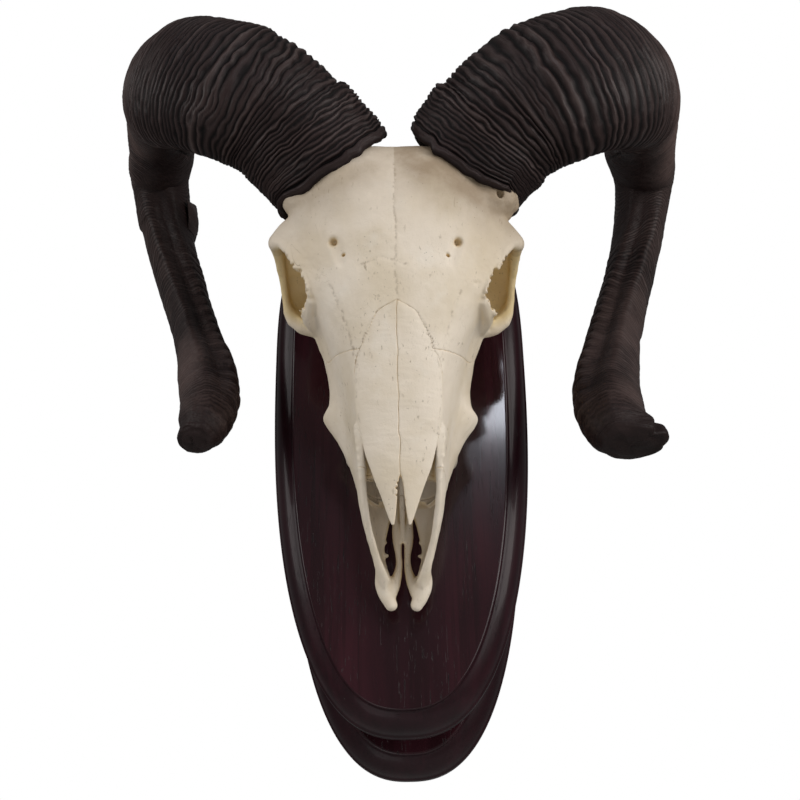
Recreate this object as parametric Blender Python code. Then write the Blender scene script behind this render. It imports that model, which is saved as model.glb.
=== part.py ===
"""Ram skull with both horns, on a two-tier oval wall plaque.

Sizes are in millimetres and are turned into metres where a mesh is made.
World frame: +X to the viewer's right, +Z up, and +Y into the wall, whose surface is at Y = 0.
Skull frame: x to the viewer's right of the midline, p down along the palate, from 17 at the
occipital condyles to 262 at the front of the snout, and h up from the chewing surface of the
cheek teeth.
Left and right are the viewer's.
"""
import math

import bmesh
import bpy
import numpy as np

MM = 0.001
GAP = 0.3                      # clearance between touching pieces

# Plaque: two moulded oval boards with a plain spacer between them.
PLAQUE_HALF_WIDTH = 73.5
PLAQUE_DOWN = 214.8            # from the widest row to the bottom
PLAQUE_UP = 114.0              # from the widest row to the top
PLAQUE_BOTTOM_BULGE = 2 / 2.49     # 2 / exponent of each half's oval outline
PLAQUE_TOP_BULGE = 2 / 2.95
BOARD_THICK = 22.0
BOARD_BAND = 8.0               # flat edge band
MOULD_IN = 12.5                # from the band in to the flat field
BACK_MARGIN = 2.9              # the back board is this much smaller all round
BACK_DROP = 19.0               # and hangs this much lower
SPACER_THICK = 32.0
SPACER_MARGIN = 22.0
OVAL_STEPS = 48

# Skull placing on the plaque.
FIELD = 2 * BOARD_THICK + SPACER_THICK      # front face of the plaque, from the wall
LIFT = 1.2                     # teeth stand this far off the field
SKULL_TOP = 106.4              # room height where p is 0
MIDLINE_X = 0.9
YAW = 0.023                    # the forehead looks a little to the right
LEAN = 0.03                    # the right side of the skull sits a little lower

# The bolt that holds the base of the skull.
BOLT_RADIUS = 4.0
BOLT_P = 62.0
BOLT_TOP = 26.0


def skull_point(x, p, h):
    """World place, in millimetres, of a point of the skull frame."""
    return (MIDLINE_X + x + YAW * h, -(FIELD + LIFT + h) + YAW * x, SKULL_TOP - p - LEAN * x)


def smooth_path(points, count):
    """A Catmull-Rom curve through rows of numbers, sampled evenly from first to last."""
    rows = np.asarray(points, float)
    ends = np.vstack([2 * rows[0] - rows[1], rows, 2 * rows[-1] - rows[-2]])
    samples = []
    for s in np.linspace(0, len(rows) - 1, count):
        i = min(int(s), len(rows) - 2)
        f = s - i
        a, b, c, d = ends[i:i + 4]
        samples.append(0.5 * (2 * b + (c - a) * f + (2 * a - 5 * b + 4 * c - d) * f ** 2
                              + (3 * b - a - 3 * c + d) * f ** 3))
    return np.array(samples)


def clear_scene():
    for old in list(bpy.data.objects):
        bpy.data.objects.remove(old, do_unlink=True)


def material(name, colour, roughness, metallic=0.0):
    made = bpy.data.materials.new(name)
    made.use_nodes = True
    shader = made.node_tree.nodes["Principled BSDF"]
    shader.inputs["Base Color"].default_value = (*colour, 1.0)
    shader.inputs["Roughness"].default_value = roughness
    shader.inputs["Metallic"].default_value = metallic
    return made


def add_rings(bm, rings):
    """Join closed rings of points (in millimetres, world frame) into one closed solid."""
    rows = [[bm.verts.new(np.asarray(point) * MM) for point in ring] for ring in rings]
    sides = len(rows[0])
    for low, high in zip(rows, rows[1:]):
        for i in range(sides):
            j = (i + 1) % sides
            bm.faces.new((low[i], low[j], high[j], high[i]))
    bm.faces.new(rows[0][::-1])
    bm.faces.new(rows[-1])


def new_object(name, bm, finish, smooth=True):
    bmesh.ops.recalc_face_normals(bm, faces=bm.faces)
    mesh = bpy.data.meshes.new(name)
    bm.to_mesh(mesh)
    bm.free()
    if smooth:
        mesh.shade_smooth()
        mesh.set_sharp_from_angle(angle=math.radians(40))
    if finish:
        mesh.materials.append(finish)
    made = bpy.data.objects.new(name, mesh)
    bpy.context.collection.objects.link(made)
    return made


def hide_as_cutter(made):
    made.hide_render = True
    made.display_type = "WIRE"
    return made


def cut(target, cutter, operation="DIFFERENCE"):
    step = target.modifiers.new(operation.lower(), "BOOLEAN")
    step.operation = operation
    step.solver = "EXACT"
    step.object = cutter


# ---------------------------------------------------------------- plaque

def oval(margin, drop, depth):
    """One ring of the plaque's egg-shaped outline, `depth` in front of the wall."""
    ring = []
    for i in range(OVAL_STEPS):
        turn = 2 * math.pi * i / OVAL_STEPS
        c = math.cos(turn)
        s = math.sin(turn)
        bulge = PLAQUE_TOP_BULGE if s > 0 else PLAQUE_BOTTOM_BULGE
        x = (PLAQUE_HALF_WIDTH - margin) * math.copysign(abs(c) ** bulge, c)
        reach = (PLAQUE_UP if s > 0 else PLAQUE_DOWN) - margin
        z = reach * math.copysign(abs(s) ** bulge, s) - drop
        ring.append((x, -depth, z))
    return ring


def board(name, back, margin, drop, finish):
    """A moulded board: flat band, cove, small step and a flat field."""
    front = back + BOARD_THICK
    profile = [
        (0.0, back),
        (0.0, back + BOARD_BAND),
        (MOULD_IN * 0.12, back + BOARD_BAND + 3.0),
        (MOULD_IN * 0.42, back + BOARD_BAND + 8.5),
        (MOULD_IN * 0.88, front - 2.2),
        (MOULD_IN, front),
    ]
    bm = bmesh.new()
    add_rings(bm, [oval(margin + inset, drop, depth) for inset, depth in profile])
    return new_object(name, bm, finish, smooth=False)


def plaque(wood):
    board("plaque_back", 0.0, BACK_MARGIN, BACK_DROP, wood)
    board("plaque_front", BOARD_THICK + SPACER_THICK, 0.0, 0.0, wood)
    bm = bmesh.new()
    low = BOARD_THICK + GAP
    high = BOARD_THICK + SPACER_THICK - GAP
    middle = BACK_DROP / 2
    add_rings(bm, [oval(SPACER_MARGIN, middle, depth) for depth in (low, high)])
    new_object("plaque_spacer", bm, wood, smooth=False)


# ---------------------------------------------------------------- horns

# Horn stations from base to tip: x, p, h of the centre, half the wide and the narrow width,
# and the direction of the wide axis in x, p, h.
HORN_STATIONS = (
    (31.8, 49.2, 90.8, 35.8, 27.0, 0.74, 0.62, -0.25),
    (59.9, 23.3, 105.8, 38.3, 27.0, 0.62, 0.78, -0.10),
    (85.9, 9.2, 110.8, 42.0, 26.5, 0.35, 0.94, 0.00),
    (113.4, -7.1, 98.8, 41.0, 25.5, 0.05, 0.99, 0.10),
    (133.9, -24.6, 70.8, 36.5, 24.5, 0.00, 0.96, 0.29),
    (143.1, -32.8, 34.8, 32.5, 23.0, 0.00, 0.89, 0.45),
    (150.5, -34.4, 0.8, 30.0, 21.3, 0.00, 0.66, 0.75),
    (156.0, -25.0, -23.2, 26.5, 18.9, 0.00, 0.20, 0.98),
    (150.9, 9.7, -35.2, 24.9, 16.5, 0.00, -0.10, 1.00),
    (138.5, 51.2, -31.2, 23.0, 15.8, -0.10, -0.29, 0.95),
    (123.4, 94.5, -13.2, 21.2, 15.8, -0.18, -0.44, 0.88),
    (110.8, 137.6, 12.8, 19.6, 17.0, -0.39, -0.47, 0.79),
    (108.4, 166.0, 34.0, 17.0, 15.5, -0.58, -0.58, 0.58),
    (110.0, 181.0, 48.0, 14.5, 10.5, -0.76, -0.46, 0.46),
)
HORN_RINGS = 44
HORN_SIDES = 14
RIDGE_HEIGHT = 1.1             # of the cross ridges near the base
RIDGED_PART = 0.45             # share of the length that carries strong ridges


def horn_rings(side, tip_out, tip_scale, grow=0.0, first=0.0):
    """Rings of one horn; grow widens it and first moves its base end back, for a socket."""
    rows = smooth_path(HORN_STATIONS, HORN_RINGS)
    rings = []
    for k, row in enumerate(rows):
        share = k / (HORN_RINGS - 1)
        late = max(0.0, (share - 0.7) / 0.3) ** 2
        centre = row[:3] + np.array([tip_out * late, 0.0, 0.0])
        ahead = rows[min(k + 1, HORN_RINGS - 1)][:3] - rows[max(k - 1, 0)][:3]
        along = ahead / np.linalg.norm(ahead)
        wide = row[5:8] - along * np.dot(row[5:8], along)
        wide /= np.linalg.norm(wide)
        narrow = np.cross(along, wide)
        if k == 0:
            centre = centre - along * first
        ridge = RIDGE_HEIGHT * (k % 2) * max(0.0, 1 - share / RIDGED_PART)
        scale = 1 + (tip_scale - 1) * late
        half_wide = row[3] * scale + grow - ridge
        half_narrow = row[4] * scale + grow - ridge
        ring = []
        for i in range(HORN_SIDES):
            turn = 2 * math.pi * i / HORN_SIDES
            spot = (centre + wide * half_wide * math.cos(turn)
                    + narrow * half_narrow * math.sin(turn))
            ring.append(skull_point(side * spot[0], spot[1], spot[2]))
        rings.append(ring)
    return rings


SOCKET_RINGS = 12              # horn rings that a socket is cut with


def blunt_end(rings):
    """Close the tip with two shrinking rings, so that it ends blunt and rounded."""
    last = np.array(rings[-1])
    centre = last.mean(axis=0)
    step = centre - np.array(rings[-2]).mean(axis=0)
    step /= np.linalg.norm(step)
    for size, reach in ((0.82, 3.0), (0.45, 5.5)):
        rings.append(centre + (last - centre) * size + step * reach)
    return rings


def horns(keratin):
    sockets = []
    for name, side, tip_out, tip_scale in (("left", -1, -3.5, 0.88), ("right", 1, 5.0, 1.15)):
        bm = bmesh.new()
        add_rings(bm, blunt_end(horn_rings(side, tip_out, tip_scale)))
        new_object("horn_" + name, bm, keratin)
        bm = bmesh.new()
        add_rings(bm, horn_rings(side, tip_out, tip_scale, grow=GAP, first=GAP)[:SOCKET_RINGS])
        sockets.append(hide_as_cutter(new_object("socket_" + name, bm, None, smooth=False)))
    return sockets


# ---------------------------------------------------------------- skull, before it is parted

def add_ball(bm, centre, radii, rings=10, sides=14):
    """An ellipsoid in the skull frame."""
    rows = []
    for k in range(1, rings):
        lift = math.pi * k / rings
        row = []
        for i in range(sides):
            turn = 2 * math.pi * i / sides
            row.append(skull_point(centre[0] + radii[0] * math.sin(lift) * math.cos(turn),
                                   centre[1] + radii[1] * math.sin(lift) * math.sin(turn),
                                   centre[2] + radii[2] * math.cos(lift)))
        rows.append(row)
    add_rings(bm, rows)


def add_tube(bm, stations, samples=12, sides=10):
    """A round tube through stations of x, p, h and radius, in the skull frame."""
    rows = smooth_path(stations, samples)
    rings = []
    for k, row in enumerate(rows):
        ahead = rows[min(k + 1, samples - 1)][:3] - rows[max(k - 1, 0)][:3]
        along = ahead / np.linalg.norm(ahead)
        up = np.array([0.0, 0.0, 1.0]) if abs(along[2]) < 0.9 else np.array([0.0, 1.0, 0.0])
        first = np.cross(along, up)
        first /= np.linalg.norm(first)
        second = np.cross(along, first)
        ring = []
        for i in range(sides):
            turn = 2 * math.pi * i / sides
            spot = row[:3] + row[3] * (first * math.cos(turn) + second * math.sin(turn))
            ring.append(skull_point(*spot))
        rings.append(ring)
    add_rings(bm, rings)


def balls(bm, centre, radii):
    """A ball on the right and its mirror image on the left."""
    for side in (-1, 1):
        add_ball(bm, (side * centre[0], centre[1], centre[2]), radii)


def tubes(bm, *stations):
    """A tube on the right and its mirror image on the left."""
    for side in (-1, 1):
        add_tube(bm, [(side * x, p, h, radius) for x, p, h, radius in stations])


# Face and palate, from the orbits forward: p, top height, then x and h of the brow edge, the
# upper side, the lower side, the cheek ridge and the tooth socket edge, and the palate height.
FACE_STATIONS = (
    (98.0, 112.0, 22, 110, 34, 92, 26, 66, 24, 46, 24, 24, 36),
    (107.0, 113.8, 25, 111, 36, 90, 30, 66, 30, 46, 28, 20, 31),
    (116.0, 112.0, 25, 109, 36, 85, 37, 62, 42, 43, 34, 14, 28),
    (126.0, 108.5, 23, 105, 35, 83, 39, 60, 42, 42, 35, 14, 25),
    (140.0, 103.0, 22, 99, 31, 80, 35.5, 60, 39.5, 40, 34, 13, 22),
    (153.0, 97.5, 21, 94, 27.5, 76, 34, 57, 38, 38, 32, 13, 20),
    (166.0, 92.0, 20, 88, 25.5, 71, 32, 53, 40.5, 38, 31, 13, 18),
    (178.0, 87.0, 19, 83, 23.5, 66, 28, 48, 33, 34, 28, 13, 17),
    (191.0, 81.0, 18.6, 77, 21.5, 62, 24.5, 45, 26.8, 30, 25, 13, 16),
    (204.0, 68.0, 18.4, 65, 20.5, 54, 22, 40, 22.5, 28, 19, 14, 15),
)
FACE_FRONT = FACE_STATIONS[-1][0]


def add_face(bm):
    rings = []
    for p, top, *pairs in smooth_path(FACE_STATIONS, 20):
        palate = pairs.pop()
        right = list(zip(pairs[0::2], pairs[1::2]))
        outline = [(0.0, top)] + right + [(right[-1][0] * 0.5, palate), (0.0, palate)]
        outline += [(-x, h) for x, h in outline[-2:0:-1]]
        rings.append([skull_point(x, p, h) for x, h in outline])
    add_rings(bm, rings)


# Cheek teeth from the front: front edge p, length, x of the middle, half width.
TEETH = (
    (180.0, 9.5, 26.5, 4.0),
    (171.0, 9.5, 28.5, 4.6),
    (162.0, 10.5, 30.0, 5.2),
    (152.0, 15.0, 31.0, 6.4),
    (137.5, 17.0, 31.5, 6.8),
    (121.0, 18.0, 31.5, 6.2),
)
TOOTH_ROOT = 24.0
TOOTH_OVERLAP = 1.05           # neighbouring teeth touch


def add_teeth(bm):
    """Six cheek teeth a side, worn flat at h = 0 and rooted in the jaw."""
    for front, length, x, half in TEETH:
        for side in (-1, 1):
            rings = []
            for h, swell in ((0.0, 0.9), (8.0, 1.04), (TOOTH_ROOT, 0.95)):
                ring = []
                for i in range(8):
                    turn = 2 * math.pi * (i + 0.5) / 8
                    across = half * swell * math.cos(turn)
                    ahead = TOOTH_OVERLAP * length / 2 * swell * math.sin(turn)
                    ring.append(skull_point(side * x + across, front - length / 2 + ahead, h))
                rings.append(ring)
            add_rings(bm, rings)


def add_brain_case(bm):
    """Brain case, brow and the bosses that carry the horns."""
    add_ball(bm, (0, 61, 70), (35, 28, 34))
    add_ball(bm, (0, 84, 92), (40, 42, 25.5))
    add_ball(bm, (0, 92, 82), (30, 34, 30))
    balls(bm, (28, 65, 92), (25, 24, 20))
    tubes(bm, (20, 66, 86, 19), (34, 50, 92, 22), (48, 34, 99, 21))
    balls(bm, (50, 69, 92), (11, 11, 10))
    balls(bm, (33, 54, 62), (13, 17, 18))
    balls(bm, (16, 44, 78), (18, 9, 14))
    add_tube(bm, ((-20, 53, 103, 9), (0, 53, 104, 9), (20, 53, 103, 9)))


def add_skull_base(bm):
    """Occiput, ear region and the base of the skull."""
    tubes(bm, (0, 40, 82, 4.5), (14, 40, 80, 4.5), (26, 41, 72, 4.5), (35, 45, 59, 5))
    add_ball(bm, (0, 40, 57), (31, 13, 24))
    balls(bm, (10, 26, 38), (9, 9, 11))
    add_tube(bm, ((0, 30, 38, 9), (0, 46, 38, 10), (0, 66, 40, 12), (0, 96, 46, 15)))
    tubes(bm, (24, 36, 50, 9), (26, 33, 28, 5.5), (25, 33, 8, 3))
    balls(bm, (18, 48, 32), (9, 12, 11))
    tubes(bm, (30, 50, 43, 6), (39, 47, 45, 5.5), (46, 46, 47, 5))
    tubes(bm, (9, 62, 38, 5), (11, 78, 28, 4), (13, 96, 24, 5), (18, 112, 28, 8))
    balls(bm, (27, 116, 30), (10, 13, 18))


def add_orbits(bm):
    """Brow, rear bar and lower rim of each eye socket, and the cheek arch behind it."""
    tubes(bm, (28, 86, 100, 14), (43, 88, 95, 11), (59, 89, 90, 6.5))
    tubes(bm, (34, 113, 94, 13), (37, 104, 95, 12), (45, 95, 93, 10))
    tubes(bm, (34, 136, 78, 8), (36, 130, 70, 8), (41, 124, 58, 7), (44, 117, 50, 6.5))
    tubes(bm, (60, 89, 90, 6), (60.5, 88, 79, 5), (58.5, 87, 66, 4.8), (56.5, 85, 53, 5))
    tubes(bm, (42, 114, 47, 7), (50, 111, 47, 6.2), (56, 101, 50, 5.4), (57, 84, 51, 5.2),
          (54, 67, 52, 5), (45, 54, 54, 6.5))


ORBIT_CENTRE = (53.0, 109.0, 72.0)
ORBIT_RADII = (24.0, 18.5, 18.5)


def cutter(name, add, *shape):
    bm = bmesh.new()
    add(bm, *shape)
    return hide_as_cutter(new_object(name, bm, None, smooth=False))


def orbit_cutters():
    x, p, h = ORBIT_CENTRE
    return [cutter("orbit_cutter", add_ball, (side * x, p, h), ORBIT_RADII) for side in (-1, 1)]


def brain_opening():
    """The round opening between the condyles, where the spine would leave."""
    return cutter("spine_opening", add_tube, ((0, 5, 50, 9.5), (0, 28, 52, 9), (0, 48, 58, 7)))


def add_box(bm, low, high, taper=1.0):
    """A box in the skull frame from low to high x, p, h; taper narrows its rear end in x."""
    rings = []
    for p, squeeze in ((low[1], taper), (high[1], 1.0)):
        corners = ((low[0], low[2]), (high[0], low[2]), (high[0], high[2]), (low[0], high[2]))
        rings.append([skull_point(x * squeeze, p, h) for x, h in corners])
    add_rings(bm, rings)


# ---------------------------------------------------------------- bones of the face

NASAL_THICK = 4.0
# Nasal bones: p, half width of the pair, inner edge, height on the midline, fall to the side.
NASAL_STATIONS = (
    (135.0, 1.5, 0.0, 105.0, 0.3),
    (142.0, 9.0, 0.0, 102.3, 1.2),
    (158.0, 20.3, 0.0, 95.8, 3.6),
    (175.0, 20.3, 0.0, 88.6, 4.6),
    (191.0, 18.6, 0.0, 82.2, 4.4),
    (202.0, 16.0, 0.0, 78.2, 3.8),
    (211.0, 12.6, 0.2, 74.8, 2.8),
    (220.0, 9.0, 1.6, 70.6, 1.6),
    (231.0, 4.9, 2.9, 65.6, 0.2),
)


def nasal_rings(side, grow=0.0, over=0.0):
    """One nasal bone; grow widens it all round and over lifts its top, for a slot."""
    rings = []
    for p, outer, inner, top, fall in smooth_path(NASAL_STATIONS, 13):
        near = inner + GAP / 2 - grow
        far = max(outer, near + 1.0) + grow
        middle = (near + far) / 2
        outline = (
            (near, top + over),
            (middle, top - fall * 0.35 + over),
            (far, top - fall + over),
            (far, top - fall - NASAL_THICK * 0.8 - grow),
            (middle, top - fall * 0.35 - NASAL_THICK - grow),
            (near, top - NASAL_THICK - grow),
        )
        rings.append([skull_point(side * x, p, h) for x, h in outline])
    return rings


def nasals(bone):
    slots = []
    for name, side in (("left", -1), ("right", 1)):
        bm = bmesh.new()
        add_rings(bm, nasal_rings(side))
        new_object("nasal_" + name, bm, bone)
        slots.append(cutter("nasal_slot", add_rings, nasal_rings(side, GAP, over=9.0)))
    return slots


# Outer wall of the premaxilla: p, x of its middle, low and high edge, thickness, and how near
# the midline its floor reaches.
PREMAXILLA_WALL = (
    (FACE_FRONT + GAP, 20.6, 19.0, 64.0, 4.2, 8.0),
    (215.0, 19.8, 16.0, 52.0, 3.6, 7.5),
    (228.0, 17.4, 13.0, 38.0, 3.8, 10.2),
    (240.0, 13.2, 11.5, 27.0, 4.4, 9.2),
    (247.0, 11.2, 10.5, 22.5, 6.4, 6.0),
    (255.0, 8.2, 9.5, 19.5, 8.4, 3.4),
    (261.5, 5.6, 11.0, 16.5, 5.0, 3.2),
)
PALATE_ROD = ((7.6, 252, 13.5, 4.0), (4.8, 246, 13.5, 3.4), (3.9, 236, 13.5, 2.7),
              (4.1, 224, 14.5, 3.4), (4.2, 212, 16.0, 3.5), (4.2, FACE_FRONT + 1.4, 17.0, 3.0))


def premaxillae(bone):
    """The two bones at the tip of the snout: an outer wall, a blunt front and a palate rod."""
    for name, side in (("left", -1), ("right", 1)):
        bm = bmesh.new()
        rings = []
        for p, x, low, high, thick, reach in smooth_path(PREMAXILLA_WALL, 16):
            half = thick / 2
            middle = (low + high) / 2
            outline = ((x + half * 0.3, low), (x + half, middle), (x + half * 0.4, high),
                       (x - half * 0.4, high), (x - half, middle), (reach, low + half),
                       (reach, low))
            rings.append([skull_point(side * a, p, h) for a, h in outline])
        add_rings(bm, rings)
        add_tube(bm, [(side * x, p, h, radius) for x, p, h, radius in PALATE_ROD], sides=8)
        made = new_object("premaxilla_" + name, bm, bone)
        fuse(made, FINE_VOXEL, PREMAXILLA_KEPT, easing=2)


# ---------------------------------------------------------------- parting the skull

SKULL_VOXEL = 1.6
FINE_VOXEL = 0.8
SKULL_KEPT = 0.031             # share of the fused triangles that is kept
PREMAXILLA_KEPT = 0.026
# Side outline, in p and h, of the bone that holds the teeth, from the palate's rear edge round.
MAXILLA_OUTLINE = ((100.5, -9), (100.5, 33), (128, 40), (141, 54), (156, 104), (156, 140),
                   (300, 140), (300, -9))
MAXILLA_REACH = 80.0


def fuse(made, voxel, kept, easing=4):
    """Melt overlapping shapes into one skin, ease it and thin its triangles."""
    skin = made.modifiers.new("melt", "REMESH")
    skin.mode = "VOXEL"
    skin.voxel_size = voxel * MM
    skin.adaptivity = 0.0
    ease = made.modifiers.new("ease", "SMOOTH")
    ease.factor = 0.5
    ease.iterations = easing
    thin = made.modifiers.new("thin", "DECIMATE")
    thin.ratio = kept


def whole_skull(cutters):
    """One mesh of all that is grown together, with its openings."""
    bm = bmesh.new()
    add_face(bm)
    add_teeth(bm)
    add_brain_case(bm)
    add_skull_base(bm)
    add_orbits(bm)
    made = new_object("whole_skull", bm, None)
    fuse(made, SKULL_VOXEL, SKULL_KEPT)
    for tool in cutters:
        cut(made, tool)
    seen = made.evaluated_get(bpy.context.evaluated_depsgraph_get())
    mesh = bpy.data.meshes.new_from_object(seen)
    bpy.data.objects.remove(made, do_unlink=True)
    return mesh


def grown(outline, by):
    """A closed clockwise outline with every edge moved out by the same distance."""
    corners = np.asarray(outline, float)
    along = np.roll(corners, -1, axis=0) - corners
    along /= np.linalg.norm(along, axis=1)[:, None]
    out = np.stack([-along[:, 1], along[:, 0]], axis=1)
    before = np.roll(out, 1, axis=0)
    return corners + by * (out + before) / (1 + np.sum(out * before, axis=1))[:, None]


def maxilla_region(low_x, high_x, grow=0.0):
    """The side outline as a slab from low_x to high_x, grown by `grow` all round."""
    outline = grown(MAXILLA_OUTLINE, grow)
    bm = bmesh.new()
    add_rings(bm, [[skull_point(x, p, h) for p, h in outline] for x in (low_x, high_x)])
    return hide_as_cutter(new_object("maxilla_region", bm, None, smooth=False))


def part_skull(mesh, bone):
    mesh.materials.clear()
    mesh.materials.append(bone)
    pieces = (
        ("cranium", maxilla_region(-MAXILLA_REACH, MAXILLA_REACH, GAP), "DIFFERENCE"),
        ("maxilla_left", maxilla_region(-MAXILLA_REACH, -GAP / 2), "INTERSECT"),
        ("maxilla_right", maxilla_region(GAP / 2, MAXILLA_REACH), "INTERSECT"),
    )
    for name, region, operation in pieces:
        made = bpy.data.objects.new(name, mesh)
        bpy.context.collection.objects.link(made)
        cut(made, region, operation)


def bolt(steel):
    """The bolt through the plaque's face that holds the base of the skull."""
    length = BOLT_TOP + LIFT - GAP
    bm = bmesh.new()
    bmesh.ops.create_cone(bm, cap_ends=True, segments=16, radius1=BOLT_RADIUS * MM,
                          radius2=BOLT_RADIUS * MM, depth=length * MM)
    made = new_object("mount_bolt", bm, steel)
    made.rotation_euler = (math.pi / 2, 0, 0)
    x, _, z = skull_point(0, BOLT_P, 0)
    made.location = (x * MM, -(FIELD + GAP + length / 2) * MM, z * MM)


def main():
    clear_scene()
    wood = material("dark_wood", (0.055, 0.017, 0.014), 0.35)
    bone = material("bone", (0.62, 0.54, 0.40), 0.6)
    keratin = material("horn", (0.045, 0.034, 0.030), 0.55)
    steel = material("steel", (0.55, 0.55, 0.56), 0.35, 1.0)
    plaque(wood)
    nose = cutter("nose_hollow", add_box, (-17.5, 190, 20), (17.5, 215, 90), 0.85)
    openings = orbit_cutters() + [brain_opening(), nose]
    mesh = whole_skull(openings + horns(keratin) + nasals(bone))
    part_skull(mesh, bone)
    premaxillae(bone)
    bolt(steel)


main()
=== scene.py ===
# %% [markdown]
# # A ram's skull on a wall plaque
# The real object is three things in one: a cream, dry skull, two curled horns of dark ringed
# keratin that sit on bone cores, and a plaque of two moulded wooden boards. Each is made by the
# method that suits it. The bones are grown as one signed distance field and then parted, because
# a skull has holes, rims and blends that are hard to pull out of a box. The horns are swept along
# a curve in space, because a horn grows ring by ring. The boards are turned out of one profile.

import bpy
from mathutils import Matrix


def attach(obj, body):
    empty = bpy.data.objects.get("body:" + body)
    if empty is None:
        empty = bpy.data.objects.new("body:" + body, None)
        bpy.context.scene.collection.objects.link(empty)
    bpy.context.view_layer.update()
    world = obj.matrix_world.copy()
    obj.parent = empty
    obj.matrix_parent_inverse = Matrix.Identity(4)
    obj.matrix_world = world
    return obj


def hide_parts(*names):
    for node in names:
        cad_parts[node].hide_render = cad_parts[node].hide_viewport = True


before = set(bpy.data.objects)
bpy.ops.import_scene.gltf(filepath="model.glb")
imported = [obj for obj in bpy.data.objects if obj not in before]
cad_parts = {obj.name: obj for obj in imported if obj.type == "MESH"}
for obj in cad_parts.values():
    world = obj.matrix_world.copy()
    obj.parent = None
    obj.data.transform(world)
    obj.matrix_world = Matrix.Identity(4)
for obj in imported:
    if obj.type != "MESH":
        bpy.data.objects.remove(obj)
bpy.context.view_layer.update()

import copy
import math

import bpy
import numpy as np
from mathutils import Matrix, Vector

MM = 0.001
print("nodes:", sorted(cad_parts))

# %% [markdown]
# ## The skull's own frame
# A skull is easier to describe along its own axes than along the room's: x to the right of its
# midline, p down along the palate towards the front of the snout, and h up from the chewing
# surface of the cheek teeth. One function turns such places into the room's. The head is turned
# a hair to the right, and one side hangs a hair lower, as on the real piece.

# %% From the skull's frame to the room
FIELD_DEPTH = 76.0             # the plaque's face, in front of the wall
LIFT = 1.2                     # teeth above that face
SKULL_TOP = 106.4
MIDLINE_X = 0.9
YAW = 0.023
LEAN = 0.03


def to_room(points):
    """Rows of x, p, h in millimetres become rows of room places in metres."""
    x, p, h = np.asarray(points, float).T
    room = np.stack([MIDLINE_X + x + YAW * h,
                     -(FIELD_DEPTH + LIFT + h) + YAW * x,
                     SKULL_TOP - p - LEAN * x], axis=1)
    return room * MM


def smooth_rows(rows, count):
    """A smooth curve through rows of numbers, sampled evenly from the first to the last."""
    rows = np.asarray(rows, float)
    padded = np.vstack([2 * rows[0] - rows[1], rows, 2 * rows[-1] - rows[-2]])
    places = np.linspace(0, len(rows) - 1, count)
    i = np.minimum(places.astype(int), len(rows) - 2)
    f = (places - i)[:, None]
    a, b, c, d = (padded[i + k] for k in range(4))
    return 0.5 * (2 * b + (c - a) * f + (2 * a - 5 * b + 4 * c - d) * f ** 2
                  + (3 * b - a - 3 * c + d) * f ** 3)


def soft_noise(shape, cells, seed, closed=False):
    """Smooth random numbers from -1 to 1 on a grid, one bump to each of `cells` per axis."""
    made = np.random.default_rng(seed).uniform(-1, 1, [c + 2 for c in cells]).astype(np.float32)
    last = len(shape) - 1
    for axis, (count, cell) in enumerate(zip(shape, cells)):
        place = np.arange(count) * (cell / (count if closed and axis == last else count - 1))
        i = np.minimum(place.astype(int), cell)
        f = place - i
        f = (f * f * (3 - 2 * f)).astype(np.float32)
        after = (i + 1) % cell if closed and axis == last else i + 1
        low, high = np.take(made, i, axis=axis), np.take(made, after, axis=axis)
        made = low + (high - low) * f.reshape([-1 if a == axis else 1 for a in range(last + 1)])
    return made


print("front of the snout in the room:", to_room([(0, 262, 14)]).round(3))

# %% [markdown]
# ## A field to grow bone in
# Bone has no flat faces and no seams where two shapes meet. A signed distance field gives that
# for free: every point of a grid holds its distance to the surface, negative inside. The smooth
# minimum of two fields is their union with a fillet, and the smooth maximum with a negated one
# is a cut with a rounded lip. The skull is near enough a mirror image, so only its right half
# is grown, which halves the work, and the small differences between the sides come later.

# %% The grid
STEP = 0.65
LOW = (0.0, 12.0, -3.0)
HIGH = (72.0, 268.0, 124.0)
FAR = 60.0                     # the distance that stands for "nowhere near"
NEAR = 6.0                     # how far from a shape the field still feels it


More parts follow.
